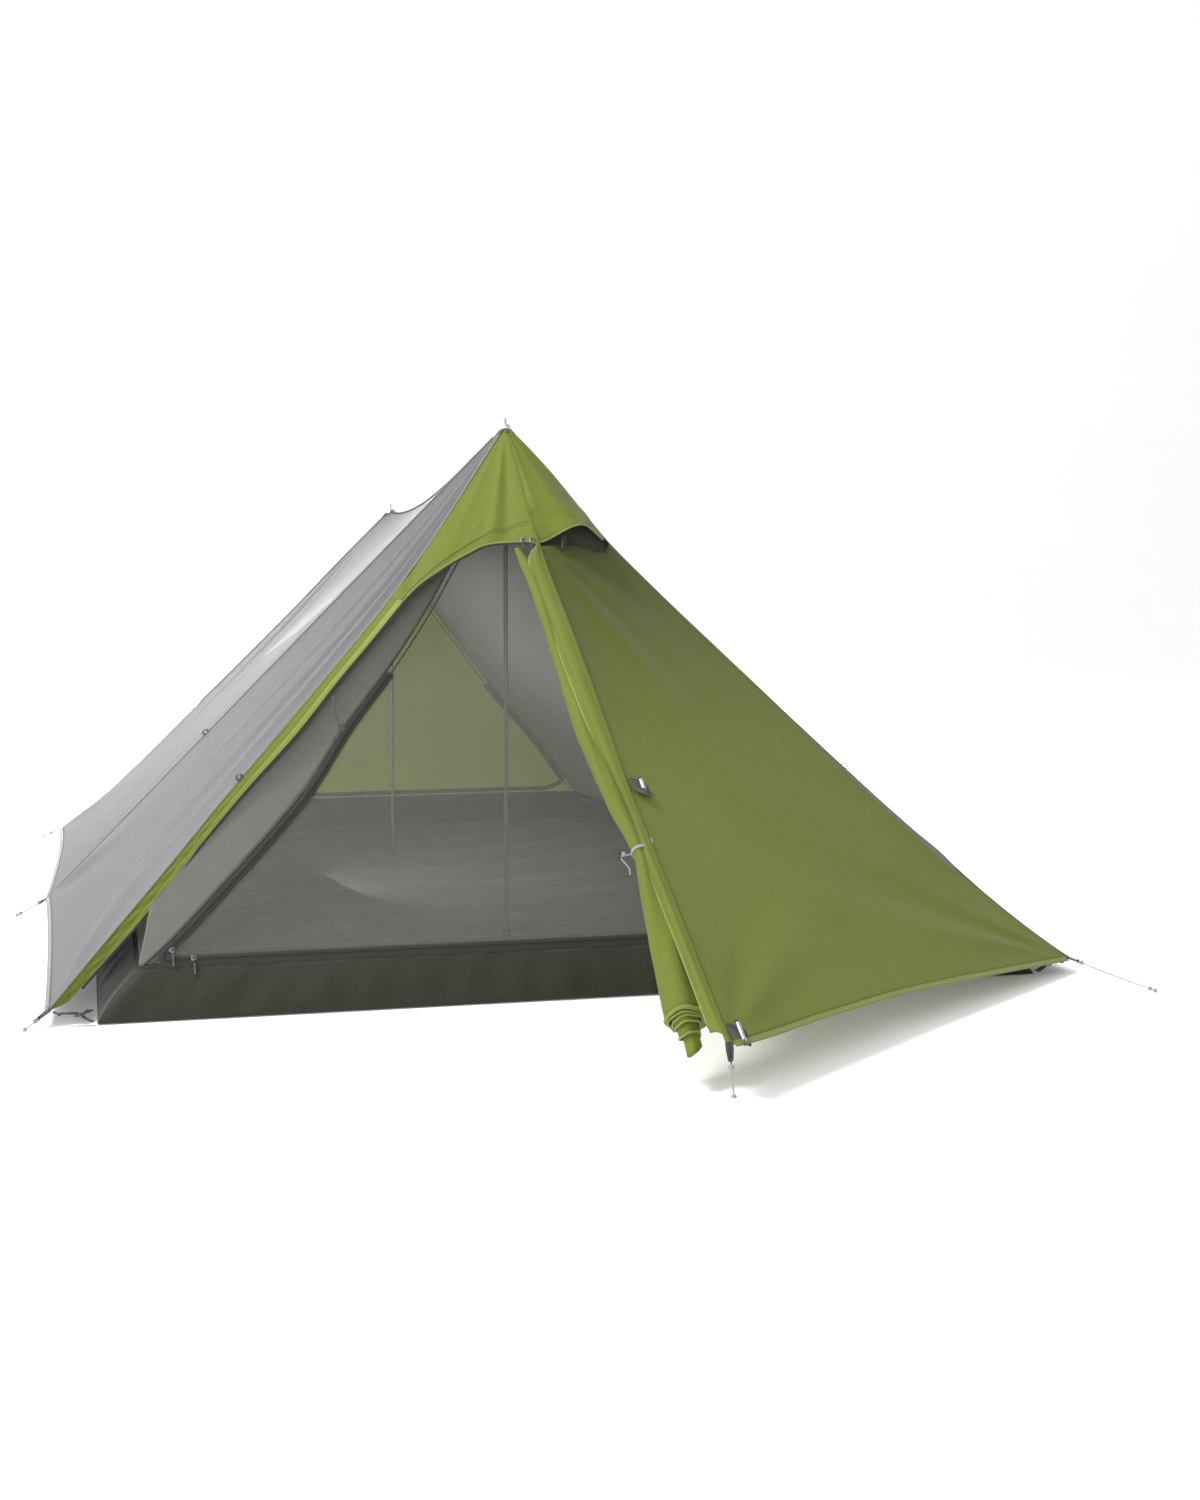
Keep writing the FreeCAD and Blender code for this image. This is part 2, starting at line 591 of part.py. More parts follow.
def on_the_arch(degrees, radius, lift):
    """A point of the door plane on a circle about the arch's centre."""
    angle = math.radians(degrees)
    return arch_middle + Vector(radius * math.cos(angle), radius * math.sin(angle), lift)


TAPE_MIDDLE = size("arch_radius") + ZIP_OVERLAP - size("zip_width") / 2
for name, degrees in (("lead", 208.5), ("tail", 204.5)):
    seat = Placement(on_the_arch(degrees, TAPE_MIDDLE, SLIDER_LIFT),
                     Rotation(Vector(0, 0, 1), degrees + 90))
    padded("door_slider_" + name, slider_outline, "Dims.slider_height", door_plane.multiply(seat))
    pivot = door_plane.multVec(on_the_arch(
        degrees, TAPE_MIDDLE - size("slider_width") / 2 - PULL_CLEARANCE, SLIDER_LIFT + 2))
    turned("door_pull_" + name, pull_profile, pointing(pivot, Vector(0, 0, -1)))

head_slope = math.hypot(size("head_pole_inset"), size("inner_head_height"))
zip_low = size("tub_height") * head_slope / size("inner_head_height") + 4
zip_lean = size("floor_head_width") / 2 / head_slope
zip_half = size("floor_head_width") / 2 - zip_low * zip_lean - 30
bottom_seat = Vector(-zip_half + 75, zip_low + size("inner_zip_width") / 2, SLIDER_LIFT + size("cloth"))
side_seat = Vector(-zip_half + 26 * zip_lean + size("inner_zip_width") / 2 + 4, zip_low + 30,
                   SLIDER_LIFT + size("cloth"))
side_angle = math.degrees(math.atan2(1, zip_lean))
for name, seat_point, turn in (("bottom", bottom_seat, 0), ("side", side_seat, side_angle)):
    seat = Placement(seat_point, Rotation(Vector(0, 0, 1), turn))
    padded("inner_slider_" + name, slider_outline, "Dims.slider_height", head_wall.multiply(seat))
    hang = seat_point + Vector(0, -size("slider_width") / 2 - PULL_CLEARANCE - 1, 2)
    down_the_wall = head_wall.Rotation.multVec(Vector(0, -1, 0))
    turned("inner_pull_" + name, pull_profile, pointing(head_wall.multVec(hang), down_the_wall))

# ---- the cord that holds the inner's edge to the fly beside the door ----
edge_tie_start = Vector(-455, -1062, 540)
edge_tie_run = Vector(-12, -6, 60)
rod("inner_edge_tie", "Dims.guyline_radius", "60", pointing(edge_tie_start, edge_tie_run))

# ---- corner straps and hooks, hem tabs, guylines and guy-out loops ----
straps = []
tabs = []
hook_outline = [
    ("0", "-Dims.hook_width / 2"),
    ("Dims.hook_length", "-Dims.hook_width / 4"),
    ("Dims.hook_length", "Dims.hook_width / 4"),
    ("0", "Dims.hook_width / 2"),
]


RING_SHARE = 0.36   # how far from the floor's corner to the fly's corner the two straps meet


def outward_tab(name, corner, heading):
    """A webbing tab that runs out of a hem corner towards its stake."""
    start = corner + heading * 3
    tabs.append(strap("tab_" + name, start, start + heading * TAB_LENGTH))
    return start + heading * (TAB_LENGTH + 1)


for end_name, floor_corner, fly_corner, lengthwise in (
        ("head", floor_head_right, fly_head_right, 1), ("foot", floor_foot_right, fly_foot_right, -1)):
    for side, side_name in ((-1, "left"), (1, "right")):
        name = "%s_%s" % (end_name, side_name)
        corner = mirrored_in_x(floor_corner, side)
        outside = mirrored_in_x(fly_corner, side)
        ring = corner + (outside - corner) * RING_SHARE + Vector(0, 0, 10)
        along_edge = corner + Vector(-5 * side, 92 * lengthwise, 12)
        straps.append(strap("strap_a_" + name, corner + Vector(8 * side, 0, 8),
                            ring + Vector(-4 * side, 0, 0)))
        straps.append(strap("strap_b_" + name, along_edge + Vector(13 * side, 0, 0),
                            ring + Vector(-4 * side, 16 * lengthwise, 0)))
        level = Vector(outside.x, outside.y, ring.z + 3)
        seat = frame_at(ring + Vector(3 * side, 0, 3), level, level + Vector(0, 100 * side, 0))
        padded("corner_hook_" + name, hook_outline, "Dims.hook_thickness", seat)

GUY_PLACES = {
    # name: (hem corner, where the cord ends on the ground, how far the middle of the cord hangs)
    "head_left": (fly_head_left, Vector(-1126, -1412, 4.5), 1.5),
    "head_right": (fly_head_right, Vector(1144, -1616, 4.5), 4),
    "side_left": (mirrored_in_x(fly_side_right, -1), Vector(-1085, -85, 4.5), 2),
    "side_right": (fly_side_right, Vector(1085, -85, 4.5), 2),
    "foot_left": (mirrored_in_x(fly_foot_right, -1), Vector(-945, 1368, 4.5), 1.5),
    "foot_right": (fly_foot_right, Vector(945, 1368, 4.5), 1.5),
    "front": (front_hem, Vector(4, -2252, 4.5), 2),
    "rear": (rear_hem, Vector(0, 2150, 4.5), 2),
}
for name, (corner, stake, droop) in GUY_PLACES.items():
    heading = (stake - corner).normalize()
    tip = outward_tab(name, corner, heading)
    middle = (tip + stake) * 0.5 - Vector(0, 0, droop)
    guyline("guyline_" + name, [tip, middle, stake])

LOOP_HEIGHT = 18
LOOP_SHARE = 0.63   # how far down a hip seam its guy-out loop is sewn


def guyout_loop(name, point, direction):
    """A short loop of webbing that stands off a seam."""
    tabs.append(strap("loop_" + name, point + direction * 5, point + direction * (5 + LOOP_HEIGHT)))


for side, side_name in ((-1, "left"), (1, "right")):
    for end_name, peak, corner, lean in (("head", head_peak, fly_head_right, -0.6),
                                         ("foot", foot_peak, fly_foot_right, 0.6)):
        seam_point = peak + (mirrored_in_x(corner, side) - peak) * LOOP_SHARE
        guyout_loop(end_name + side_name, seam_point, Vector(0.6 * side, lean, 0.4).normalize())
    side_point = head_peak + (mirrored_in_x(fly_side_right, side) - head_peak) * LOOP_SHARE
    guyout_loop("side" + side_name, side_point, Vector(0.7 * side, 0, 0.7).normalize())
group("corner_straps", straps)
group("webbing_tabs", tabs)

# ---- check and write ----
doc.recompute()
for item in doc.Objects:
    if "Invalid" in item.State or "Error" in item.State:
        raise RuntimeError("%s did not compute: %s" % (item.Name, item.State))
for part in sub_parts:
    if part.Shape.isNull() or not part.Shape.isValid() or part.Shape.Volume <= 0:
        raise RuntimeError("%s has no sound shape" % part.Label)
for part in sub_parts:
    part.Shape.exportStep("parts/%s.step" % part.Label)
print("wrote %d sub-parts" % len(sub_parts))
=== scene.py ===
import math

import bpy
import numpy as np
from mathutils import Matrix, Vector


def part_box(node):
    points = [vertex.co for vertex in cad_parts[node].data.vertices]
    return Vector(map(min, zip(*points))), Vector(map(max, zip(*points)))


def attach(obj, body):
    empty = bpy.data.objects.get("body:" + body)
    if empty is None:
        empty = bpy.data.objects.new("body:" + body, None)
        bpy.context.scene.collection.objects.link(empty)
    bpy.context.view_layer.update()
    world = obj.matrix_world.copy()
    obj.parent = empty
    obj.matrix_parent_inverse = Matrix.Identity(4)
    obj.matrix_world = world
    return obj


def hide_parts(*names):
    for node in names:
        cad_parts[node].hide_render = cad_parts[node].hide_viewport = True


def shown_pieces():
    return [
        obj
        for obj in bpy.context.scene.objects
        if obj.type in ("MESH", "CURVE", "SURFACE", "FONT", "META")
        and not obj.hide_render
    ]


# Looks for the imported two-pole ridge tent. Metres, in the CAD model's frame:
# -Y is the head end with the open door, +Z is up, and the ground is z = 0.

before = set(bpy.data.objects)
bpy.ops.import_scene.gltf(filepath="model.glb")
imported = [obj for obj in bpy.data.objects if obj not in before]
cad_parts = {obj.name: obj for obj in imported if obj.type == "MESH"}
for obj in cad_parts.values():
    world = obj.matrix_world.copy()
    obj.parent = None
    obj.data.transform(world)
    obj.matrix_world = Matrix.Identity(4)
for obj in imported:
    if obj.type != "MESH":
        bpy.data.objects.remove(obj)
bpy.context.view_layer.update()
scene = bpy.context.scene

# ------------------------------ camera
FOCAL, SENSOR, IMAGE = 2383.4, 36.0, (1200, 1500)
PITCH, YAW = 0.104, 0.258
VIEW_CENTRE = (544.98, 760.18)
camera_data = bpy.data.cameras.new("camera")
camera_data.sensor_width = SENSOR
camera_data.lens = FOCAL * SENSOR / IMAGE[1]
camera_data.shift_x = (IMAGE[0] / 2 - VIEW_CENTRE[0]) / IMAGE[1]
camera_data.shift_y = (VIEW_CENTRE[1] - IMAGE[1] / 2) / IMAGE[1]
camera = bpy.data.objects.new("camera", camera_data)
camera.location = (-1.304, -5.964, 0.985)
camera.rotation_euler = (math.pi / 2 - PITCH, 0, -YAW)
scene.collection.objects.link(camera)
scene.camera = camera


# ------------------------------ materials
def add(tree, kind, sockets=None, **settings):
    """A shader node with its settings and sockets filled; a socket value may be another node's output."""
    node = tree.nodes.new("ShaderNode" + kind)
    for key, value in settings.items():
        setattr(node, key, value)
    for key, value in (sockets or {}).items():
        if isinstance(value, bpy.types.NodeSocket):
            tree.links.new(value, node.inputs[key])
        else:
            node.inputs[key].default_value = value
    return node


def new_material(name):
    material = bpy.data.materials.new(name)
    material.use_nodes = True
    tree = material.node_tree
    tree.nodes.clear()
    return material, tree, add(tree, "OutputMaterial")


def shades(tree, factor, dark, light):
    """A colour between two by a factor socket."""
    ramp = add(tree, "ValToRGB", {"Fac": factor})
    ramp.color_ramp.elements[0].color = (*dark, 1)
    ramp.color_ramp.elements[1].color = (*light, 1)
    return ramp.outputs["Color"]


def scaled(colour, by):
    return tuple(min(1, c * by) for c in colour)


def fabric(name, colour, through=0.0, roughness=0.55, sheen=0.15, rip=0.005, crinkle=0.0006, see=0.0,
           shaded=None):
    """Woven cloth: ripstop grid and weave by its UV in metres, mottling and fine creases.

    through is the share of light that passes, see the share of clear holes, and shaded is
    (from height, to height, share of its brightness at the top), as in the photo's light.
    """
    material, tree, out = new_material(name)
    uv = add(tree, "UVMap", uv_map="UVMap").outputs["UV"]
    place = add(tree, "TexCoord").outputs["Object"]
    mottle = add(tree, "TexNoise", {"Vector": place, "Scale": 3.0, "Detail": 3.0}).outputs["Fac"]
    grid = add(tree, "TexBrick", {"Vector": uv, "Scale": 1.0, "Mortar Size": 0.00035, "Mortar Smooth": 0.4,
                                  "Brick Width": rip, "Row Height": rip, "Color1": (1, 1, 1, 1),
                                  "Color2": (0.97, 0.97, 0.97, 1), "Mortar": (0.86, 0.86, 0.86,
                                                            1)}, offset=0.0)
    base = shades(tree, mottle, scaled(colour, 0.93), scaled(colour, 1.07))
    tinted = add(tree, "Mix", {"Factor": 1.0, "A": base, "B": grid.outputs["Color"]}, data_type="RGBA",
                 blend_type="MULTIPLY")
    surface_colour = tinted.outputs[2]
    if shaded:
        from_height, to_height, share = shaded
        height = add(tree, "SeparateXYZ", {"Vector": place}).outputs["Z"]
        shade = add(tree, "MapRange", {"Value": height, "From Min": from_height, "From Max": to_height,
                                       "To Min": 1.0,
                                       "To Max": share}, interpolation_type="SMOOTHSTEP").outputs[0]
        surface_colour = add(tree, "VectorMath", {0: surface_colour, "Scale": shade},
                             operation="SCALE").outputs[0]
    threads = add(tree, "TexWave", {"Vector": uv, "Scale": 420.0}, bands_direction="X").outputs["Fac"]
    across = add(tree, "TexWave", {"Vector": uv, "Scale": 420.0}, bands_direction="Y").outputs["Fac"]
    weave = add(tree, "Math", {0: threads, 1: across}, operation="MULTIPLY").outputs[0]
    creases = add(tree, "TexNoise", {"Vector": place, "Scale": 22.0, "Detail": 4.0}).outputs["Fac"]
    weave_bump = add(tree, "Bump", {"Height": weave, "Strength": 0.25, "Distance": 0.0002})
    bump = add(tree, "Bump", {"Height": creases, "Strength": 0.6, "Distance": crinkle * 8,
                              "Normal": weave_bump.outputs["Normal"]}).outputs["Normal"]
    rough = add(tree, "MapRange", {"Value": creases, "To Min": roughness - 0.06, "To Max": roughness + 0.08})
    shader = add(tree, "BsdfPrincipled", {"Base Color": surface_colour, "Roughness": rough.outputs[0],
                                          "Specular IOR Level": 0.06, "Sheen Weight": sheen,
                                          "Sheen Roughness": 0.5, "Normal": bump}).outputs[0]
    if through:
        glow = add(tree, "BsdfTranslucent", {"Color": surface_colour, "Normal": bump}).outputs[0]
        shader = add(tree, "MixShader", {"Fac": through, 1: shader, 2: glow}).outputs[0]
    if see:
        holes = add(tree, "MapRange", {"Value": weave, "To Min": see - 0.05, "To Max": see + 0.09}).outputs[0]
        clear = add(tree, "BsdfTransparent").outputs[0]
        shader = add(tree, "MixShader", {"Fac": holes, 1: shader, 2: clear}).outputs[0]
    tree.links.new(shader, out.inputs["Surface"])
    return material


def solid(name, colour, metal=0.0, roughness=0.4, grain=900.0, depth=0.00008, worn=None, brushed=False):
    """Moulded plastic, rubber or metal, with a fine surface grain and lighter rubbed edges."""
    material, tree, out = new_material(name)
    place = add(tree, "TexCoord").outputs["Object"]
    if brushed:
        place = add(tree, "Mapping", {"Vector": place, "Scale": (1, 1, 0.02)}).outputs[0]
    noise = add(tree, "TexNoise", {"Vector": place, "Scale": grain, "Detail": 3.0}).outputs["Fac"]
    base = shades(tree, noise, scaled(colour, 0.85), scaled(colour, 1.15))
    edge = add(tree, "NewGeometry").outputs["Pointiness"]
    rubbed = add(tree, "MapRange", {"Value": edge, "From Min": 0.52, "From Max": 0.62}).outputs[0]
    mix = add(tree, "Mix", {"Factor": rubbed, "A": base, "B": (*(worn or scaled(colour, 1.6)), 1)},
              data_type="RGBA")
    rough = add(tree, "MapRange", {"Value": noise, "To Min": roughness - 0.07, "To Max": roughness + 0.1})
    bump = add(tree, "Bump", {"Height": noise, "Strength": 0.4, "Distance": depth}).outputs["Normal"]
    shader = add(tree, "BsdfPrincipled", {"Base Color": mix.outputs[2], "Metallic": metal,
                                          "Roughness": rough.outputs[0], "Normal": bump}).outputs[0]
    tree.links.new(shader, out.inputs["Surface"])
    return material


def braided(name, dark, light, twist=260.0):
    """Cord or webbing: crossing diagonal strands of two tones."""
    material, tree, out = new_material(name)
    place = add(tree, "TexCoord").outputs["Object"]
    one = add(tree, "TexWave", {"Vector": place, "Scale": twist}, bands_direction="DIAGONAL").outputs["Fac"]
    flipped = add(tree, "Mapping", {"Vector": place, "Scale": (-1, 1, 1)}).outputs[0]
    two = add(tree, "TexWave", {"Vector": flipped, "Scale": twist}, bands_direction="DIAGONAL").outputs["Fac"]
    strands = add(tree, "Math", {0: one, 1: two}, operation="MAXIMUM").outputs[0]
    bump = add(tree, "Bump", {"Height": strands, "Strength": 0.6, "Distance": 0.0004}).outputs["Normal"]
    shader = add(tree, "BsdfPrincipled", {"Base Color": shades(tree, strands, dark, light), "Roughness": 0.75,
                                          "Sheen Weight": 0.2, "Normal": bump}).outputs[0]
    tree.links.new(shader, out.inputs["Surface"])
    return material


GREY, GREEN = (0.285, 0.279, 0.289), (0.285, 0.338, 0.060)
M = {
    # Painted shade: the grey fly's colour is darkened towards the top, to 0.75 of itself above 0.80 m.
    "fly_grey": fabric("shaded_fly_grey_nylon", GREY, shaded=(0.15, 0.80, 0.75), through=0.38, roughness=0.8,
                       sheen=0.0),
    "fly_green": fabric("fly_green_nylon", GREEN, through=0.52, roughness=0.5),
    "hood_shade": fabric("shaded_fly_green_nylon", GREEN, through=0.52, roughness=0.5,
                         shaded=(0.45, 0.95, 0.52)),
    # Painted shade: a darker copy of the inner cloth, standing for the fly's shadow on the inner tent's head
    # panels.
    "inner_head_shaded": fabric("inner_head_shaded_nylon_cloth", (0.25, 0.25, 0.228), through=0.30, roughness=0.65,
                         see=0.12),
    "inner": fabric("inner_nylon_cloth", (0.60, 0.60, 0.565), through=0.50, roughness=0.65, see=0.16),
    "mesh": fabric("insect_mesh", (0.56, 0.56, 0.51), through=0.30, roughness=0.8, rip=0.0025, see=0.76),
    "floor": fabric("coated_floor_cloth", (0.034, 0.035, 0.026), roughness=0.5, rip=0.006, crinkle=0.001),
    "zip": fabric("zip_tape_cloth", (0.045, 0.046, 0.042), roughness=0.8, rip=0.0022),
    "green_tape": fabric("green_binding", (0.225, 0.27, 0.06), roughness=0.6, rip=0.0022),
    "grey_tape": fabric("grey_binding", (0.20, 0.20, 0.19), roughness=0.7, rip=0.0022),
    # Painted shade: the vent netting's near-black green stands for the shadow under the hood.
    "vent_shade_net": fabric("vent_shade_netting_cloth", (0.045, 0.052, 0.02), roughness=0.85, rip=0.003),
    "patch": fabric("laminate_patch", (0.055, 0.062, 0.04), roughness=0.45, rip=0.004),
    "webbing": braided("woven_webbing", (0.022, 0.023, 0.021), (0.06, 0.06, 0.055), 330.0),
    "cord": braided("braided_cord", (0.16, 0.165, 0.165), (0.42, 0.43, 0.43), 520.0),
    "dark_cord": braided("dark_braided_cord", (0.03, 0.03, 0.03), (0.11, 0.11, 0.105), 520.0),
    "thread": braided("sewing_thread", (0.05, 0.065, 0.02), (0.10, 0.12, 0.05), 900.0),
    "pole": solid("anodised_pole", (0.075, 0.075, 0.062), metal=0.35, roughness=0.42, brushed=True),
    "ferrule": solid("bright_ferrule", (0.5, 0.5, 0.48), metal=1.0, roughness=0.3, brushed=True),
    "steel": solid("turned_steel", (0.30, 0.30, 0.29), metal=1.0, roughness=0.34),
    "tube": solid("toggle_tube", (0.48, 0.49, 0.5), metal=0.9, roughness=0.35, brushed=True),
    "plastic": solid("black_moulding", (0.022, 0.022, 0.022), roughness=0.45),
    "rubber": solid("rubber_foot", (0.028, 0.028, 0.027), roughness=0.7),
    "slider": solid("painted_slider", (0.06, 0.06, 0.055), metal=0.4, roughness=0.42, worn=(0.3, 0.3, 0.29)),
}


# ------------------------------ geometry helpers
def V(*numbers):
    return np.array(numbers, float)


def unit(vector):
    return np.asarray(vector, float) / max(np.linalg.norm(vector), 1e-12)


def mirror(points):
    return np.asarray(points, float) * V(-1, 1, 1)


def along(points):
    """The distance from the first point to each of the others along a line."""
    return np.concatenate([[0], np.cumsum(np.linalg.norm(np.diff(points, axis=0), axis=1))])


def evenly(points, count):
    """The line again, as count evenly spaced points."""
    points = np.asarray(points, float)
    at = along(points)
    goal = np.linspace(0, at[-1], count)
    return np.stack([np.interp(goal, at, points[:, k]) for k in range(3)], axis=1)


def smooth(points, count):
    """count evenly spaced points of a smooth curve through the given ones."""
    p = np.asarray(points, float)
    t = along(p)
    slope = np.gradient(p, t, axis=0)
    fine = np.linspace(0, t[-1], 40 * len(p))
    i = np.clip(np.searchsorted(t, fine, side="right") - 1, 0, len(p) - 2)
    h = (t[i + 1] - t[i])[:, None]
    x = ((fine - t[i])[:, None]) / h
    curve = ((1 + 2 * x) * (1 - x) ** 2 * p[i] + x * (1 - x) ** 2 * h * slope[i]
             + x * x * (3 - 2 * x) * p[i + 1] + x * x * (x - 1) * h * slope[i + 1])
    return evenly(curve, count)


def sagged(start, end, inward, profile, count):
    """A line from start to end that leaves the straight towards inward.

    profile holds (distance along, sag) pairs.
    """
    run = np.linalg.norm(end - start)
    at = np.linspace(0, run, 400)
    steps = np.array([(0, 0), *profile, (run, 0)], float)
    guide = smooth(np.column_stack([steps, np.zeros(len(steps))]), 300)
    sag = np.interp(at, guide[:, 0], guide[:, 1])
    return evenly(start + np.outer(at / run, end - start) + np.outer(sag, unit(inward)), count)


def coons(bottom, top, left, right):
    """A grid of points between four edges: bottom and top run the same way, and so do left and right."""
    u = np.linspace(0, 1, len(bottom))[:, None, None]
    v = np.linspace(0, 1, len(left))[None, :, None]
    ruled = (1 - v) * bottom[:, None] + v * top[:, None] + (1 - u) * left[None] + u * right[None]
    corners = ((1 - u) * (1 - v) * bottom[0] + u * (1 - v) * bottom[-1]
               + (1 - u) * v * top[0] + u * v * top[-1])
    return ruled - corners


def tighten(grid, rounds):
    """Draws the inside of a grid taut between its edges, as stretched cloth lies."""
    for _ in range(rounds):
        grid[1:-1, 1:-1] = (grid[2:, 1:-1] + grid[:-2, 1:-1] + grid[1:-1, 2:] + grid[1:-1, :-2]) / 4
    return grid


def normals_of(grid):
    across = np.gradient(grid, axis=0)
    up = np.gradient(grid, axis=1)
    n = np.cross(across, up)
    return n / np.maximum(np.linalg.norm(n, axis=2, keepdims=True), 1e-12)


def fold(grid, corner, toward, side, count, height, reach, phase=0.0, spread=1.2):
    """Folds that fan out of a pulled corner and die away with distance."""
    axis_x = unit(toward - corner)
    flat_normal = unit(np.cross(axis_x, side - corner))
    axis_y = np.cross(flat_normal, axis_x)
    offset = grid - corner
    x, y = offset @ axis_x, offset @ axis_y
    distance = np.hypot(x, y)
    angle = np.arctan2(y, x)
    wave = np.sin(count * angle + phase) + 0.5 * np.sin(1.7 * count * angle + 2.1 + phase)
    share = distance / reach
    size = height * share * np.exp(1 - share) * np.exp(-(angle / spread) ** 2)
    return (wave * size)[..., None]


def edge_fade(grid):
    """0 on a grid's border and 1 a few cells inside, so that neighbours still meet."""
    rows = np.minimum(np.arange(grid.shape[0]), np.arange(grid.shape[0])[::-1])
    columns = np.minimum(np.arange(grid.shape[1]), np.arange(grid.shape[1])[::-1])
    return (np.clip(rows / 5, 0, 1)[:, None] * np.clip(columns / 5, 0, 1)[None])[..., None]


def rippled(grid, *folds):
    """The grid pushed out along its normals by the sum of some folds, with its edges left in place."""
    return grid + normals_of(grid) * sum(folds) * edge_fade(grid)


def finish_piece(obj, material, body, slot=None, replaces=()):
    obj.data.materials.append(M[material])
    scene.collection.objects.link(obj)
    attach(obj, body)
    if replaces:
        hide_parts(*replaces)
    return obj


def mesh_piece(name, points, faces, material, body="tent", uv=None, flat=False, **extra):
    data = bpy.data.meshes.new(name)
    data.from_pydata([tuple(p) for p in points], [], faces)
    data.validate()
    if uv is None:
        uv = np.asarray(points)[:, :2] + np.asarray(points)[:, 2:3] * V(0.37, 0.83)
    layer = data.uv_layers.new(name="UVMap")
    index = np.zeros(len(data.loops), int)
    data.loops.foreach_get("vertex_index", index)
    layer.data.foreach_set("uv", np.asarray(uv, float)[index].ravel())
    data.polygons.foreach_set("use_smooth", [not flat] * len(data.polygons))
    return finish_piece(bpy.data.objects.new(name, data), material, body, **extra)


def grid_faces(nu, nv, wrap=False):
    faces = []
    for i in range(nu if wrap else nu - 1):
        for j in range(nv - 1):
            k = (i + 1) % nu
            faces.append((i * nv + j, k * nv + j, k * nv + j + 1, i * nv + j + 1))
    return faces


def cloth(name, grid, material, thick=0.0007, uv=None, **extra):
    """One sheet of cloth from a grid of points; rows that end in one point become a fan."""
    nu, nv = grid.shape[:2]
    flat_points = grid.reshape(-1, 3)
    if uv is None:
        centre = flat_points.mean(0)
        axes = np.linalg.svd((flat_points - centre)[::7], full_matrices=False)[2]
        uv = (flat_points - centre) @ axes[:2].T
    obj = mesh_piece(name, flat_points, grid_faces(nu, nv), material, uv=uv, **extra)
    weld = obj.modifiers.new("weld", "WELD")
    weld.merge_threshold = 0.0002
    if thick:
        body = obj.modifiers.new("thickness", "SOLIDIFY")
        body.thickness = thick
        body.offset = 0
    return obj


def frames_along(path, up=(0, 0, 1)):
    """Two directions square to a path at each point, turning as little as they can."""
    path = np.asarray(path, float)
    tangents = np.gradient(path, axis=0)
    tangents /= np.maximum(np.linalg.norm(tangents, axis=1, keepdims=True), 1e-12)
    side = np.cross(tangents[0], up)
    if np.linalg.norm(side) < 1e-3:
        side = np.cross(tangents[0], (1, 0, 0.01))
    sides = []
    for t in tangents:
        side = unit(side - t * (side @ t))
        sides.append(side)
    sides = np.array(sides)
    return tangents, sides, np.cross(sides, tangents)


def swept(path, section, scale=None, sides=None):
    """A closed tube's points and faces, with capped ends.

    The section, (side, up) pairs, is carried along the path.
    """
    path = np.asarray(path, float)
    section = np.asarray(section, float)
    tangents, across, up = frames_along(path)
    if sides is not None:
        across = np.array([unit(s - t * (s @ t)) for s, t in zip(np.broadcast_to(sides, path.shape),
                                                            tangents)])
        up = np.cross(across, tangents)
    scale = np.ones(len(path)) if scale is None else np.asarray(scale, float)
    k = len(section)
    ring = (path[:, None] + scale[:, None, None] * (section[None, :, :1] * across[:, None]
                                                    + section[None, :, 1:] * up[:, None]))
    faces = []
    for i in range(len(path) - 1):
        for j in range(k):
            faces.append((i * k + j, i * k + (j + 1) % k, (i + 1) * k + (j + 1) % k, (i + 1) * k + j))
    faces.append(tuple(range(k))[::-1])
    faces.append(tuple((len(path) - 1) * k + j for j in range(k)))
    return ring.reshape(-1, 3), faces


def circle(radius, count=10, squash=1.0):
    angle = np.linspace(0, 2 * math.pi, count, endpoint=False)
    return np.column_stack([radius * np.cos(angle), radius * squash * np.sin(angle)])


def flat_section(width, thick):
    """A strap's cross-section, thinner at its two edges."""
    w, t = width / 2, thick / 2
    return [(-w, -t * 0.4), (-w * 0.8, -t), (w * 0.8, -t), (w, -t * 0.4),
            (w, t * 0.4), (w * 0.8, t), (-w * 0.8, t), (-w, t * 0.4)]


def joined(name, parts, material, **extra):
    """One piece from several (points, faces) sets."""
    points, faces, start = [], [], 0
    for some_points, some_faces in parts:
        points.append(np.asarray(some_points, float))
        faces += [tuple(start + i for i in face) for face in some_faces]
        start += len(some_points)
    return mesh_piece(name, np.concatenate(points), faces, material, **extra)


def tube(path, radius, count=8, squash=1.0, scale=None):
    return swept(path, circle(radius, count, squash), scale)


def strap(path, width, thick, side=None):
    return swept(path, flat_section(width, thick), sides=side)


def turned(profile, origin, axis, count=20):
    """A round part: (radius, height) pairs turned about an axis."""
    axis = unit(axis)
    side = unit(np.cross(axis, (0.3, 0.9, 0.1) if abs(axis[1]) < 0.9 else (1, 0, 0)))
    up = np.cross(axis, side)
    points = []
    for r, h in profile:
        for a in np.linspace(0, 2 * math.pi, count, endpoint=False):
            points.append(np.asarray(origin) + axis * h + side * r * math.cos(a) + up * r * math.sin(a))
    faces = []
    for i in range(len(profile) - 1):
        for j in range(count):
            faces.append((i * count + j, i * count + (j + 1) % count,
                          (i + 1) * count + (j + 1) % count, (i + 1) * count + j))
    faces.append(tuple(range(count))[::-1])
    faces.append(tuple((len(profile) - 1) * count + j for j in range(count)))
    return np.array(points), faces


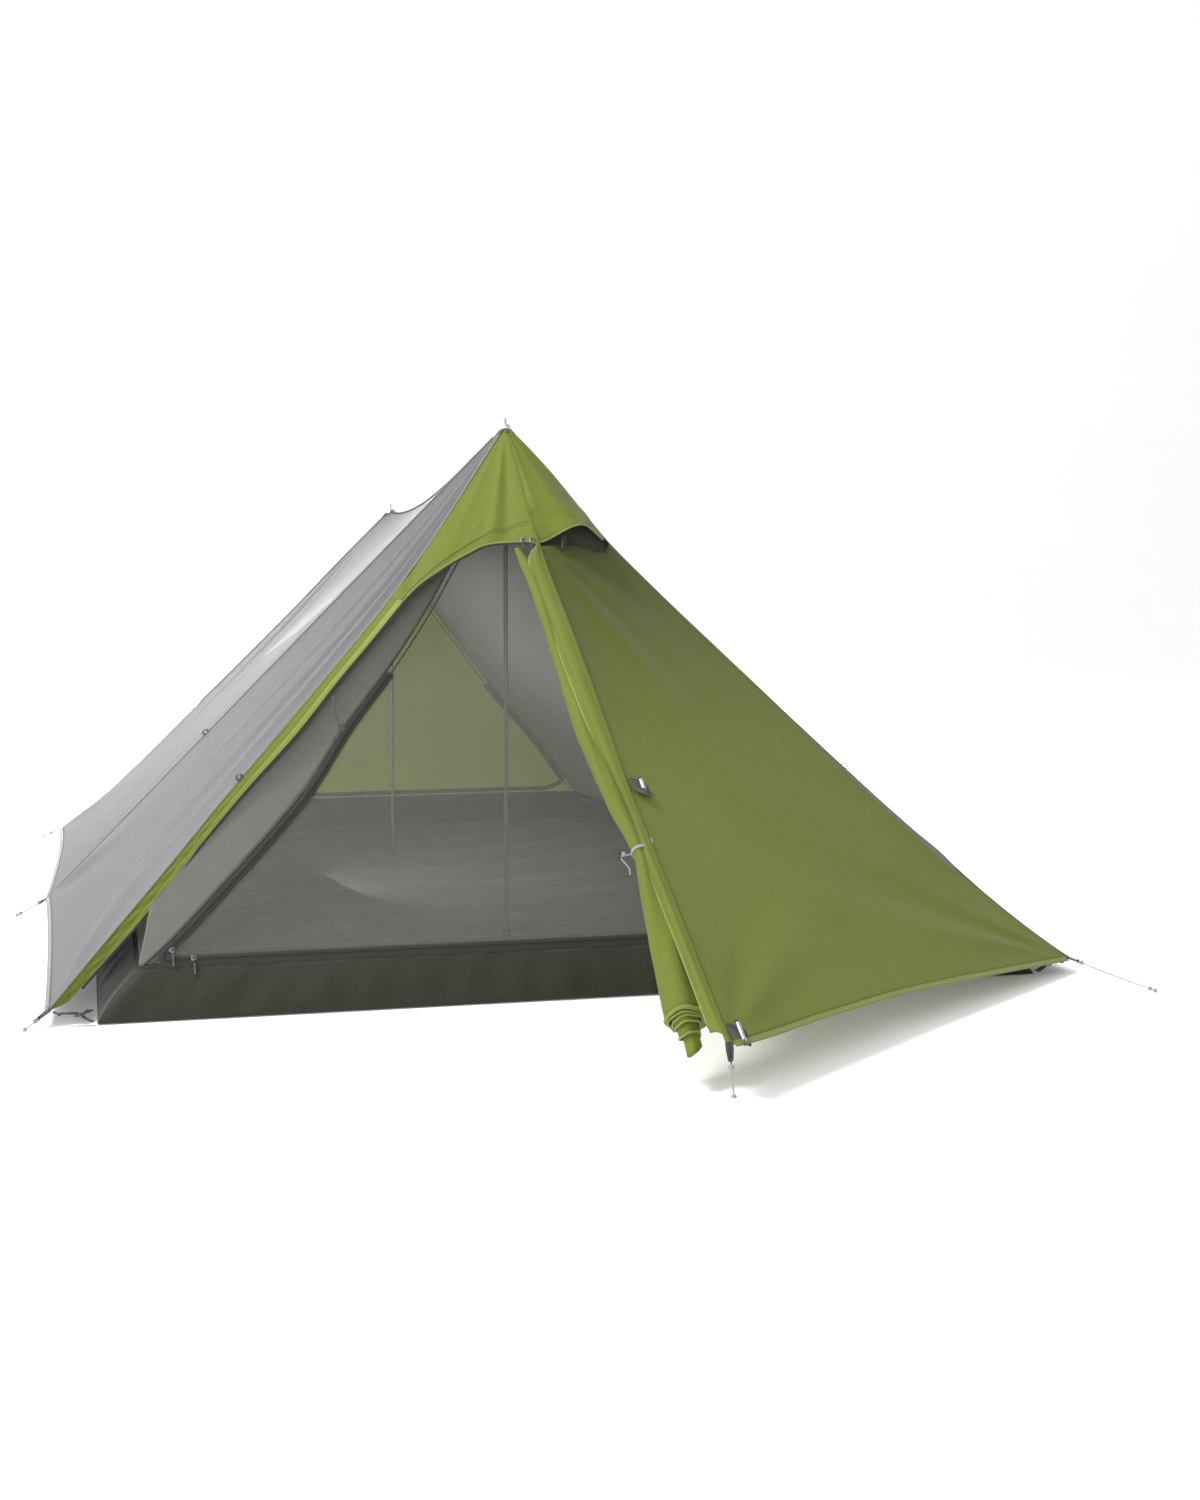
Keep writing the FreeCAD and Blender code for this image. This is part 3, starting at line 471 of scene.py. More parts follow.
def ring(centre, normal, radius, thick, count=28):
    """A closed wire ring."""
    normal = unit(normal)
    side = unit(np.cross(normal, (0.2, 0.1, 0.97) if abs(normal[2]) < 0.9 else (1, 0, 0)))
    up = np.cross(normal, side)
    points, faces = [], []
    for a in np.linspace(0, 2 * math.pi, count, endpoint=False):
        out = side * math.cos(a) + up * math.sin(a)
        for b in np.linspace(0, 2 * math.pi, 8, endpoint=False):
            points.append(centre + out * (radius + thick * math.cos(b)) + normal * thick * math.sin(b))
    for i in range(count):
        for j in range(8):
            k = (i + 1) % count
            faces.append((i * 8 + j, k * 8 + j, k * 8 + (j + 1) % 8, i * 8 + (j + 1) % 8))
    return np.array(points), faces


def knot(centre, axis, size, wire):
    """An overhand knot drawn tight: a trefoil tube."""
    axis = unit(axis)
    side = unit(np.cross(axis, (0.31, 0.2, 0.93)))
    up = np.cross(axis, side)
    t = np.linspace(0, 2 * math.pi, 49)
    x, y, z = np.sin(t) + 2 * np.sin(2 * t), np.cos(t) - 2 * np.cos(2 * t), -np.sin(3 * t)
    path = (np.asarray(centre) + np.outer(x, side) * size / 3 + np.outer(y, up) * size / 3
            + np.outer(z, axis) * size * 0.5)
    return swept(path, circle(wire, 7))


def stitches(path, normal, offset=0.0, side=None, step=0.0045, length=0.003, lift=0.0006, width=0.0009):
    """A row of sewn stitches beside a line that lies on cloth."""
    path = np.asarray(path, float)
    total = along(path)[-1]
    line = evenly(path, max(3, int(total / step)))
    tangents = np.gradient(line, axis=0)
    tangents /= np.linalg.norm(tangents, axis=1, keepdims=True)
    normal = np.broadcast_to(normal, line.shape)
    sideways = np.cross(normal, tangents) if side is None else np.broadcast_to(side, line.shape)
    points, faces = [], []
    for p, t, n, s in zip(line, tangents, normal, sideways):
        n, s = unit(n), unit(s)
        middle = p + s * offset + n * lift
        for a in (-length / 2, length / 2):
            for b, c in ((-1, 0), (0, 1), (1, 0)):
                points.append(middle + t * a + s * b * width / 2 + n * c * width / 2)
        k = len(points) - 6
        faces += [(k, k + 3, k + 4, k + 1), (k + 1, k + 4, k + 5, k + 2), (k, k + 2, k + 5, k + 3),
                  (k, k + 1, k + 2), (k + 3, k + 5, k + 4)]
    return np.array(points), faces


def sheet(name, grid, material, flat, slot, held="stretched", rests_on=(), thick=0.0007, **extra):
    """A cloth piece made by cloth(); flat, the size it is cut to, is not used."""
    obj = cloth(name, grid, material, thick, slot=slot, **extra)
    return obj


# ------------------------------ the tent's corners and lines
HEAD_PEAK, FOOT_PEAK = V(0, -0.67, 1.18), V(0, 0.685, 0.99)
INNER_HEAD, INNER_FOOT = V(0, -0.67, 1.10), V(0, 0.685, 0.915)
HEAD_CORNER, SIDE_CORNER, FOOT_CORNER = V(-1.08, -1.36, 0.028), V(-1.005, 0.02, 0.028), V(-0.895, 1.34, 0.028)
FRONT_HEM, REAR_HEM = V(0, -2.238, 0.092), V(0, 2.08, 0.030)
REAR_CLOTH_DROP = 0.024     # how far the rear cloth hangs below its webbing tab
REAR_CLOTH_END = REAR_HEM - V(0, 0, REAR_CLOTH_DROP)
FLOOR_HEAD, FLOOR_FOOT = V(-0.985, -1.38, 0.003), V(-0.80, 1.38, 0.003)
TUB_HEAD, TUB_FOOT = V(-0.900, -1.3187, 0.095), V(-0.717, 1.3078, 0.095)
SEAM_TOP, ARCH_END = V(0, -0.951, 0.917), V(-0.289, -0.921, 0.794)
STRIP_END = V(-1.036, -1.334, 0.042)


def plane_normal(a, b, c, toward):
    """The normal of three points' plane, on the side of a fourth."""
    n = unit(np.cross(b - a, c - a))
    return n if n @ (toward - a) > 0 else -n


SIDE_NORMAL = plane_normal(HEAD_PEAK, HEAD_CORNER, SIDE_CORNER, V(-2, 0, 2))
FAR_SIDE_NORMAL = plane_normal(FOOT_PEAK, FOOT_CORNER, SIDE_CORNER, V(-2, 0, 2))
FRONT_NORMAL = plane_normal(HEAD_PEAK, HEAD_CORNER, V(0, -0.956, 0.92), V(-1, -3, 2))
REAR_NORMAL = plane_normal(FOOT_PEAK, FOOT_CORNER, REAR_HEM, V(-1, 4, 2))
HIP_OUT = unit(SIDE_NORMAL + FRONT_NORMAL)
FAR_HIP_OUT = unit(FAR_SIDE_NORMAL + REAR_NORMAL)
LEFT_HIP_SAG = [(0.13, 0.013), (0.27, 0.027), (0.41, 0.037), (0.53, 0.039), (0.70, 0.036), (0.90, 0.029),
                (1.15, 0.019), (1.35, 0.014), (1.55, 0.006)]
RIGHT_HIP_SAG = [(0.15, 0.008), (0.23, 0.018), (0.35, 0.033), (0.50, 0.038), (0.70, 0.039), (0.95, 0.038),
                 (1.20, 0.035), (1.38, 0.029), (1.52, 0.024), (1.66, 0.010)]
FAR_HIP_SAG = [(0.20, 0.004), (0.43, 0.012), (0.64, 0.016), (0.84, 0.018), (1.10, 0.022), (1.27, 0.020)]
hip_left = sagged(HEAD_PEAK, HEAD_CORNER, -HIP_OUT, LEFT_HIP_SAG, 173)
hip_right = sagged(mirror(HEAD_PEAK), mirror(HEAD_CORNER), -mirror(HIP_OUT), RIGHT_HIP_SAG, 173)
far_hip = sagged(FOOT_PEAK, FOOT_CORNER, -FAR_HIP_OUT, FAR_HIP_SAG, 121)
RIDGE = smooth([HEAD_PEAK, (0, -0.55, 1.150), (0, -0.409, 1.124), (0, -0.2, 1.081), (0, 0.004, 1.042),
                (0, 0.25, 1.004), (0, 0.45, 0.985), (0, 0.57, 0.981), (0, 0.65, 0.985), FOOT_PEAK], 121)
CENTRE_SEAM = smooth([HEAD_PEAK, (0, -0.742, 1.118), (0, -0.815, 1.052), (0, -0.886, 0.984),
                      (0, -0.956, 0.920), (0, -1.032, 0.863), (0, -1.146, 0.791), (0, -1.30, 0.692),
                      (0, -1.521, 0.540), (0, -1.637, 0.459), (0, -1.767, 0.380), (0, -1.944, 0.273),
                      (0, -2.081, 0.189), FRONT_HEM], 201)
REAR_SEAM = smooth([FOOT_PEAK, (0, 0.86, 0.862), (0, 1.09, 0.712), (0, 1.34, 0.545), (0, 1.72, 0.272),
                    REAR_CLOTH_END],
                   121)


def part_of(line, start, end, count):
    """The stretch of a line from one distance along it to another, as count points."""
    at = along(line)
    goal = np.linspace(start, end, count)
    return np.stack([np.interp(goal, at, line[:, k]) for k in range(3)], axis=1)


def hem(start, end, inward, sag, rise, count):
    """A hem that curves in and up between two staked corners."""
    t = np.linspace(0, 1, count)
    bow = 4 * t * (1 - t)
    line = start + np.outer(t, end - start) + np.outer(bow * sag, inward)
    line[:, 2] += rise * bow ** 0.7
    return line


# ------------------------------ guylines, first because their room is checked
GUY_ROUTES = {
    # from the hem's webbing to the knot on the ground, hanging a little in the middle
    "head_left": (HEAD_CORNER, V(-1.126, -1.412, 0.0045), 0.0015, 0.045),
    "head_right": (mirror(HEAD_CORNER), V(1.144, -1.616, 0.0045), 0.004, 0.237),
    "side_left": (SIDE_CORNER, V(-1.085, -0.085, 0.0045), 0.002, 0.106),
    "side_right": (mirror(SIDE_CORNER), V(1.085, -0.085, 0.0045), 0.002, 0.106),
    "foot_left": (FOOT_CORNER, V(-0.945, 1.368, 0.0045), 0.0015, 0.034),
    "foot_right": (mirror(FOOT_CORNER), V(0.945, 1.368, 0.0045), 0.0015, 0.034),
    "front": (FRONT_HEM, V(0.004, -2.252, 0.0045), 0.002, 0.060),
    "rear": (REAR_HEM, V(0, 2.150, 0.0045), 0.002, 0.047),
}
GUY_DIAMETER, TAB_END = 0.003, 0.028
for name, (corner, stake, droop, length) in GUY_ROUTES.items():
    heading = unit(stake - corner)
    tip = corner + heading * TAB_END
    route = [tip, (tip + stake) / 2 - V(0, 0, droop), stake]
    curve = bpy.data.curves.new("guyline_" + name, "CURVE")
    curve.dimensions = "3D"
    curve.bevel_depth = GUY_DIAMETER / 2
    curve.bevel_resolution = 4
    spline = curve.splines.new("NURBS")
    spline.points.add(len(route) - 1)
    for point, place in zip(spline.points, route):
        point.co = (*place, 1)
    spline.order_u = 3
    spline.use_endpoint_u = True
    spline.resolution_u = 16
    line = finish_piece(bpy.data.objects.new("guyline_%s_cord" % name, curve), "cord", "tent", slot="cord",
                        replaces=["guyline_" + name])
    low_knot = stake - heading * 0.003
    knots = [knot(low_knot, heading, 0.0036, 0.0016), knot(tip + heading * 0.009, heading, 0.0046, 0.0018)]
    if length > 0.06:
        knots.append(knot(stake - heading * 0.018, heading, 0.0042, 0.0017))
    tied = joined("guyline_%s_knots" % name, knots, "cord", slot="cord")

# ------------------------------ fly: the two long sides
POLES = ["pole_head_upper_section", "pole_foot_upper_section"]


def side_sheet(side, name):
    """One long side of the fly: near triangle and far part, sewn along the side seam into one sheet."""
    put = mirror if side > 0 else np.asarray
    hip = hip_right if side > 0 else hip_left
    rows = 81
    hip = evenly(hip, rows)[::-1]
    seam = evenly(np.array([HEAD_PEAK, SIDE_CORNER]), rows)[::-1]
    seam = put(seam)
    far = put(evenly(far_hip, rows)[::-1])
    near_hem = put(hem(HEAD_CORNER, SIDE_CORNER, V(1, 0, 0), 0.006, 0.018, 57))
    far_hem = put(hem(SIDE_CORNER, FOOT_CORNER, V(1, 0, 0), 0.014, 0.020, 57))
    peak = np.repeat(HEAD_PEAK[None], 57, axis=0)
    near = tighten(coons(near_hem, peak, hip, seam), 120)
    back = tighten(coons(far_hem, evenly(RIDGE, 57), seam, far), 120)
    corner, side_corner, foot_corner = put(HEAD_CORNER), put(SIDE_CORNER), put(FOOT_CORNER)
    near = rippled(near, fold(near, corner, HEAD_PEAK, side_corner, 9, 0.010, 0.15, 0.4, 0.9),
                   fold(near, HEAD_PEAK, corner, side_corner, 34, 0.0022, 0.42, 1.0, 0.35),
                   fold(near, side_corner, HEAD_PEAK, corner, 8, 0.009, 0.13, 2.0, 0.9))
    back = rippled(back, fold(back, side_corner, HEAD_PEAK, foot_corner, 8, 0.004, 0.12, 0.7, 0.9),
                   fold(back, foot_corner, FOOT_PEAK, side_corner, 9, 0.004, 0.12, 0.1, 0.9),
                   fold(back, HEAD_PEAK, side_corner, FOOT_PEAK, 26, 0.002, 0.40, 0.2, 0.5),
                   fold(back, FOOT_PEAK, foot_corner, HEAD_PEAK, 17, 0.003, 0.25, 1.2, 0.7))
    grid = np.concatenate([near, back[1:]])
    if side < 0:
        grid = grid[::-1]
    sheet("fly_%s_side" % name, grid, "fly_grey", (2.72, 1.72), "fly_grey", rests_on=POLES,
          replaces=["fly_%s_head_panel" % name, "fly_%s_foot_panel" % name])
    out, far_out = put(SIDE_NORMAL), put(FAR_SIDE_NORMAL)
    lift = out * 0.001
    joined("fly_%s_side_seam" % name, [strap(seam[2:-2] + lift, 0.009, 0.0012,
                                             side=np.cross(out, seam[0] - seam[-1]))],
           "grey_tape", slot="fly_grey")
    inward = [near[:, 0] + out * 0.0006, back[:, 0] + far_out * 0.0006]
    joined("fly_%s_hem" % name, [strap(line, 0.011, 0.0016, side=up)
                                 for line, up in zip(inward,
                                                     (near[28, 3] - near[28, 0], back[28, 3] - back[28, 0]))],
           "grey_tape", slot="fly_grey")
    rows_of_thread = [stitches(near[:, 0], out, side=unit(near[28, 3] - near[28, 0]), offset=0.008),
                      stitches(back[:, 0], far_out, side=unit(back[28, 3] - back[28, 0]), offset=0.008)]
    rows_of_thread += [stitches(seam[2:-2], out, offset=o, lift=0.0018) for o in (-0.0035, 0.0035)]
    joined("fly_%s_side_stitches" % name, rows_of_thread, "thread", slot="fly_grey")


side_sheet(-1, "left")
side_sheet(1, "right")

# ------------------------------ fly: the head end
ARCH_EDGE = smooth([SEAM_TOP, (-0.021, -0.930, 0.920), (-0.045, -0.913, 0.919), (-0.075, -0.900, 0.917),
                    (-0.105, -0.893, 0.911), (-0.136, -0.891, 0.896), (-0.165, -0.892, 0.881),
                    (-0.209, -0.897, 0.855), (-0.250, -0.905, 0.828), ARCH_END], 61)
STRIP_EDGE = smooth([ARCH_END, (-0.364, -0.955, 0.713), (-0.443, -0.999, 0.634), (-0.539, -1.059, 0.533),
                     (-0.670, -1.126, 0.409), (-0.785, -1.192, 0.292), (-0.871, -1.246, 0.201),
                     (-0.981, -1.305, 0.095), STRIP_END], 121)
STRIP_START = float((ARCH_END - HEAD_PEAK) @ unit(HEAD_CORNER - HEAD_PEAK))
hip_top = part_of(hip_left, 0, STRIP_START, 61)
hip_low = part_of(hip_left, STRIP_START, along(hip_left)[-1], 121)
seam_above = part_of(CENTRE_SEAM, 0, 0.389, 41)
seam_above[-1] = SEAM_TOP
strip_across = evenly(np.array([hip_top[-1], ARCH_END]), 41)
arch = tighten(coons(hip_top, ARCH_EDGE, seam_above, strip_across), 160)
arch = rippled(arch, fold(arch, HEAD_PEAK, SEAM_TOP, HEAD_CORNER, 26, 0.0045, 0.22, 0.6, 0.45),
               fold(arch, ARCH_END, HEAD_PEAK, SEAM_TOP, 7, 0.003, 0.08, 0.6, 0.9))
sheet("door_arch_cloth", arch, "fly_green", (0.54, 0.34), "fly_green", rests_on=POLES[:1],
      replaces=["door_arch_panel"])
strip = coons(hip_low, STRIP_EDGE, evenly(np.array([hip_low[0], ARCH_END]), 13),
              evenly(np.array([HEAD_CORNER, STRIP_END]), 13))
strip_run = np.linspace(0, 1, 121)[:, None]
strip_across_share = np.linspace(0, 1, 13)[None]
pleats = (0.0022 * np.sin(strip_run * 118 + 3 * strip_across_share) * np.clip(strip_run * 1.8 - 0.6, 0, 1)
          * np.sin(strip_across_share * math.pi))
strip = strip + normals_of(strip) * (pleats + 0.004 * np.sin(strip_across_share * math.pi))[..., None]
sheet("door_edge_cloth", strip, "fly_green", (0.078, 1.17), "fly_green", rests_on=[],
      replaces=["door_edge_strip"])

# The hood over the vent, and dark netting behind it, its near-black green painted shade for the shadow under
# the hood.
HOOD_CROWN, HOOD_END = V(0.115, -0.925, 0.957), V(0.190, -0.838, 0.914)
HOOD_EDGE = smooth([SEAM_TOP, (0.025, -0.946, 0.924), (0.043, -0.944, 0.933), (0.061, -0.945, 0.943),
                    (0.080, -0.944, 0.952), (0.102, -0.935, 0.957), (0.119, -0.922, 0.955),
                    (0.139, -0.901, 0.945), (0.165, -0.868, 0.930), HOOD_END], 61)
HOOD_SIDE = 0.345
hood_hip = part_of(hip_right, 0, HOOD_SIDE, 41)
hood_edge = np.concatenate([HOOD_EDGE[:55], evenly(np.array([HOOD_EDGE[55], hood_hip[-1]]), 6)])
hood = tighten(coons(np.repeat(HEAD_PEAK[None], 61, axis=0), hood_edge, seam_above, hood_hip), 90)
hood = rippled(hood, fold(hood, HEAD_PEAK, HOOD_CROWN, SEAM_TOP, 14, 0.004, 0.16, 0.5, 0.5),
               fold(hood, HOOD_CROWN, HEAD_PEAK, HOOD_END, 6, 0.004, 0.07, 0.0, 1.0))
sheet("vent_hood_cloth", hood, "fly_green", (0.30, 0.40), "fly_green", rests_on=["vent_strut"],
      replaces=["vent_hood"])
vent_line = smooth([CENTRE_SEAM[np.argmin(abs(CENTRE_SEAM[:, 1] + 0.965))], (0.10, -0.907, 0.910),
                    (0.185, -0.846, 0.895), hip_right[36]], 41)
netting_side = part_of(hip_right, 0.02, along(hip_right)[36], 31)
netting_seam = part_of(CENTRE_SEAM, 0.02, along(CENTRE_SEAM)[np.argmin(abs(CENTRE_SEAM[:, 1] + 0.965))], 31)
netting_top = evenly(np.array([netting_seam[0], netting_side[0]]), 41)
netting = coons(netting_top, vent_line, netting_seam, netting_side)
netting -= mirror(FRONT_NORMAL) * 0.010
cloth("vent_shade_netting", netting, "vent_shade_net", 0.0005, slot="mesh")

# The right panel, from the seam to the right hip, and its folds out of the staked corners.
seam_low = part_of(CENTRE_SEAM, along(CENTRE_SEAM)[np.argmin(abs(CENTRE_SEAM[:, 1] + 0.965))],
                   along(CENTRE_SEAM)[-1], 101)
right_hip_low = part_of(hip_right, along(hip_right)[36], along(hip_right)[-1], 101)
RIGHT_HEM = smooth([FRONT_HEM, (0.054, -2.196, 0.089), (0.110, -2.146, 0.086), (0.239, -2.034, 0.084),
                    (0.358, -1.933, 0.080), (0.437, -1.864, 0.077), (0.645, -1.697, 0.064),
                    (0.819, -1.562, 0.050), mirror(HEAD_CORNER)], 91)
right_panel = tighten(coons(evenly(vent_line, 91), RIGHT_HEM, seam_low, right_hip_low), 160)
right_panel = rippled(right_panel,
                      fold(right_panel, FRONT_HEM, mirror(HEAD_CORNER), SEAM_TOP, 12, 0.0045, 0.20, 0.3, 0.9),
                      fold(right_panel, mirror(HEAD_CORNER), FRONT_HEM, SEAM_TOP, 12, 0.005, 0.22, 1.3, 0.8),
                      fold(right_panel, SEAM_TOP, FRONT_HEM, mirror(HEAD_CORNER), 10, 0.005, 0.20, 0.3, 0.8))
sheet("vestibule_right_cloth", right_panel, "hood_shade", (1.62, 1.42), "fly_green", rests_on=[],
      replaces=["vestibule_head_panel"])

# The foot vestibule's two halves.
for side, name in ((-1, "left"), (1, "right")):
    put = mirror if side > 0 else np.asarray
    rear_edge = hem(put(FOOT_CORNER), REAR_CLOTH_END, V(0, -1, 0), 0.012, -0.008, 57)
    rear_grid = tighten(coons(rear_edge, np.repeat(FOOT_PEAK[None], 57, axis=0),
                              put(evenly(far_hip, 61)[::-1]), evenly(REAR_SEAM, 61)[::-1]), 120)
    rear_grid = rippled(rear_grid, fold(rear_grid, REAR_HEM, FOOT_PEAK, put(FOOT_CORNER), 10, 0.005, 0.15,
                                        0, 0.9),
                        fold(rear_grid, put(FOOT_CORNER), FOOT_PEAK, REAR_HEM, 10, 0.005, 0.15, 1, 0.9),
                        fold(rear_grid, FOOT_PEAK, REAR_HEM, put(FOOT_CORNER), 18, 0.003, 0.25, 1, 0.5))
    sheet("vestibule_foot_%s_cloth" % name, rear_grid, "fly_green", (1.20, 1.66), "fly_green",
          rests_on=POLES[1:], replaces=["vestibule_foot_" + name])
    normal = plane_normal(FOOT_PEAK, put(FOOT_CORNER), REAR_HEM, V(side, 4, 2))
    joined("vestibule_foot_%s_hem" % name,
           [strap(rear_edge + normal * 0.0006, 0.011, 0.0016, side=rear_grid[28, 3] - rear_grid[28, 0])],
           "green_tape", slot="fly_green")


# Felled seams, hems, piping and their stitches on the head end.
def felled(name, path, normals, material, slot, width=0.010, rows=(-0.0038, 0.0038), lift=0.0012):
    path = np.asarray(path, float)
    normals = np.broadcast_to(normals, path.shape)
    tangents = np.gradient(path, axis=0)
    across = np.cross(tangents, normals)
    joined(name, [strap(path + normals * lift, width, 0.0014, side=across)], material, slot=slot)
    joined(name + "_stitches", [stitches(path + normals * lift, unit(normals.mean(0)),
                                         offset=o) for o in rows],
           "thread", slot=slot)


felled("centre_seam", CENTRE_SEAM[3:], unit(V(0, -0.55, 0.83)), "fly_green", "fly_green", 0.010, lift=0.0006)
felled("rear_seam", REAR_SEAM[3:-1], unit(V(0, 0.58, 0.81)), "green_tape", "fly_green", 0.011)
felled("ridge_seam", RIDGE[3:-3], V(0, 0, 1), "fly_grey", "fly_grey", 0.009, lift=0.0003)
for side, name, hip in ((-1, "left", hip_left), (1, "right", hip_right)):
    out = HIP_OUT if side < 0 else mirror(HIP_OUT)
    far_out = FAR_HIP_OUT if side < 0 else mirror(FAR_HIP_OUT)
    felled("hip_seam_head_" + name, hip[2:-1], out, "grey_tape", "fly_grey", 0.007, (0.0,), 0.0008)
    felled("hip_seam_foot_" + name, (far_hip if side < 0 else mirror(far_hip))[2:-1], far_out, "grey_tape",
           "fly_grey", 0.007, (0.0,), 0.0008)
joined("arch_piping", [tube(ARCH_EDGE, 0.0022), tube(STRIP_EDGE, 0.0020)], "green_tape", slot="fly_green")
joined("hood_piping", [tube(hood_edge[1:-5], 0.0024)], "green_tape", slot="fly_green")
arch_line = [arch[:, 34], strip[:, 10]]
joined("arch_stitches", [stitches(arch_line[0], FRONT_NORMAL, width=0.0012, lift=0.001),
                         stitches(arch[:, 33], FRONT_NORMAL, width=0.0012, lift=0.001),
                         stitches(strip[:, 10], FRONT_NORMAL, width=0.0012, lift=0.001),
                         stitches(strip[:, 3], FRONT_NORMAL, width=0.0012, lift=0.001)],
       "thread", slot="fly_green")
strip_band = strip[:, 9:] + FRONT_NORMAL * 0.0012
cloth("door_edge_facing", strip_band, "green_tape", 0.0006, slot="fly_green")
RIGHT_NORMAL = mirror(FRONT_NORMAL)
felled("right_hem", RIGHT_HEM[1:-1], RIGHT_NORMAL, "green_tape", "fly_green", 0.012, (-0.004, 0.004), 0.001)

# ------------------------------ the rolled-up door and the flap beside the seam
ROLL = smooth([(-0.040, -0.943, 0.902), (-0.034, -0.990, 0.870), (-0.029, -1.250, 0.694),
               (-0.028, -1.500, 0.520),
               (-0.024, -1.660, 0.425), (-0.016, -1.775, 0.358), (-0.020, -1.880, 0.280), (-0.024, -1.993,
                                                            0.190),
               (-0.027, -2.090, 0.108)], 141)
ROLL_RADII = [(0, 0.007), (0.04, 0.013), (0.2, 0.016), (0.45, 0.021), (0.62, 0.020), (0.69, 0.016),
              (0.725, 0.0135), (0.76, 0.018), (0.88, 0.032), (1.0, 0.040)]
TURNS, ROLL_STEPS = 6.6, 260
share = np.linspace(0, 1, len(ROLL))
radius = np.interp(share, *np.array(ROLL_RADII).T)
_, roll_side, roll_up = frames_along(ROLL, up=(0.0, 0.5, 0.86))
angle = np.linspace(0, TURNS * 2 * math.pi, ROLL_STEPS)
spiral = 0.34 + 0.66 * (angle / angle[-1])
turn = -angle + 2.4
lobes = 1 + 0.10 * np.sin(2 * turn + 0.8) + 0.05 * np.sin(5 * turn + share[:, None] * 22)
reach = radius[:, None] * spiral[None] * (lobes + 0.06 * np.sin(angle[None] * 1.3 + share[:, None] * 15))
# The inner turns hang out further than the outer ones at the open lower end.
below = np.clip((share - 0.88) / 0.12, 0, 1)[:, None] ** 2
drop = below * (0.085 * np.exp(-4.5 * (angle / angle[-1])) * (1 + 0.3 * np.cos(turn)))[None]
roll_dir = unit(ROLL[-1] - ROLL[-8])
roll = (ROLL[:, None] + reach[..., None] * (np.cos(turn)[None, :, None] * roll_side[:, None]
                                            + np.sin(turn)[None, :, None] * roll_up[:, None])
        + drop[..., None] * roll_dir)
roll[..., 2] = np.maximum(roll[..., 2], 0.006)
sheet("door_roll_cloth", roll, "fly_green", (1.02, 1.40), "fly_green", held="gathered",
      rests_on=["door_tie_band"], replaces=["rolled_door"])
outer_edge = roll[4:-2, -1]
joined("door_roll_piping", [tube(outer_edge + roll_up[4:-2] * 0.001, 0.0021)], "green_tape", slot="fly_green")
joined("door_roll_hem", [tube(roll[-1, 20:], 0.0024)], "green_tape", slot="fly_green")

FLAP_EDGE = smooth([(-0.006, -0.962, 0.911), (-0.026, -0.990, 0.888), (-0.034, -1.057, 0.838),
                    (-0.035, -1.156, 0.769), (-0.035, -1.282, 0.690), (-0.033, -1.432, 0.592),
                    (-0.026, -1.550, 0.505), (-0.020, -1.640, 0.443), (-0.020, -1.704, 0.402),
                    (-0.020, -1.807, 0.348), (-0.020, -1.905, 0.288), (-0.020, -1.994, 0.234),
                    (-0.020, -2.081, 0.180), (-0.018, -2.190, 0.105)], 121)
flap_seam = part_of(CENTRE_SEAM, along(CENTRE_SEAM)[np.argmin(abs(CENTRE_SEAM[:, 1] + 0.968))],
                    along(CENTRE_SEAM)[-1] - 0.02, 121)
bend = np.linspace(0, 1, 15)[None, :, None]
flap = flap_seam[:, None] * (1 - bend) + FLAP_EDGE[:, None] * bend
flap = flap + V(0, -0.55, 0.83) * (0.006 * np.sin(bend * math.pi))
flap_run = np.linspace(0, 1, 121)[:, None, None]
flap = flap + V(0, -0.55, 0.83) * (0.0015 * np.sin(flap_run * 61) * bend)
sheet("door_zip_flap", flap, "fly_green", (0.060, 1.56), "fly_green")
joined("door_zip_flap_piping", [tube(FLAP_EDGE[1:-1], 0.0020)], "green_tape", slot="fly_green")
joined("door_zip_flap_stitches", [stitches(flap[2:-2, 11], unit(V(-0.2, -0.55, 0.83)))], "thread",
       slot="fly_green")

# The coil zip along the arch and the strip, under their edges.
def coil(path, side, pitch=0.0028, radius=0.0016):
    """Zip teeth: a flattened spiral along a line."""
    total = along(path)[-1]
    count = int(total / pitch) * 6
    line = evenly(path, count)
    tangents = np.gradient(line, axis=0)
    tangents /= np.linalg.norm(tangents, axis=1, keepdims=True)
    side = np.array([unit(s - t * (s @ t)) for s, t in zip(np.broadcast_to(side, line.shape), tangents)])
    up = np.cross(side, tangents)
    a = np.arange(count) * 2 * math.pi / 6
    return swept(line + side * (radius * 1.3 * np.cos(a))[:, None] + up * (radius * 0.6 * np.sin(a))[:, None],
                 circle(0.0005, 4))


arch_zip_line = part_of(np.concatenate([ARCH_EDGE, STRIP_EDGE[1:]]), 0.015, 1.45, 300)
joined("door_zip_tape", [strap(arch_zip_line - FRONT_NORMAL * 0.0022, 0.012, 0.001,
                               side=np.cross(np.gradient(arch_zip_line, axis=0), FRONT_NORMAL))],
       "zip", slot="zip_tape", replaces=["door_zip_track"])
joined("door_zip_coil", [coil(arch_zip_line - FRONT_NORMAL * 0.0045, FRONT_NORMAL * 0.2 + V(0, -0.7, -0.5))],
       "plastic", slot="zip_tape")

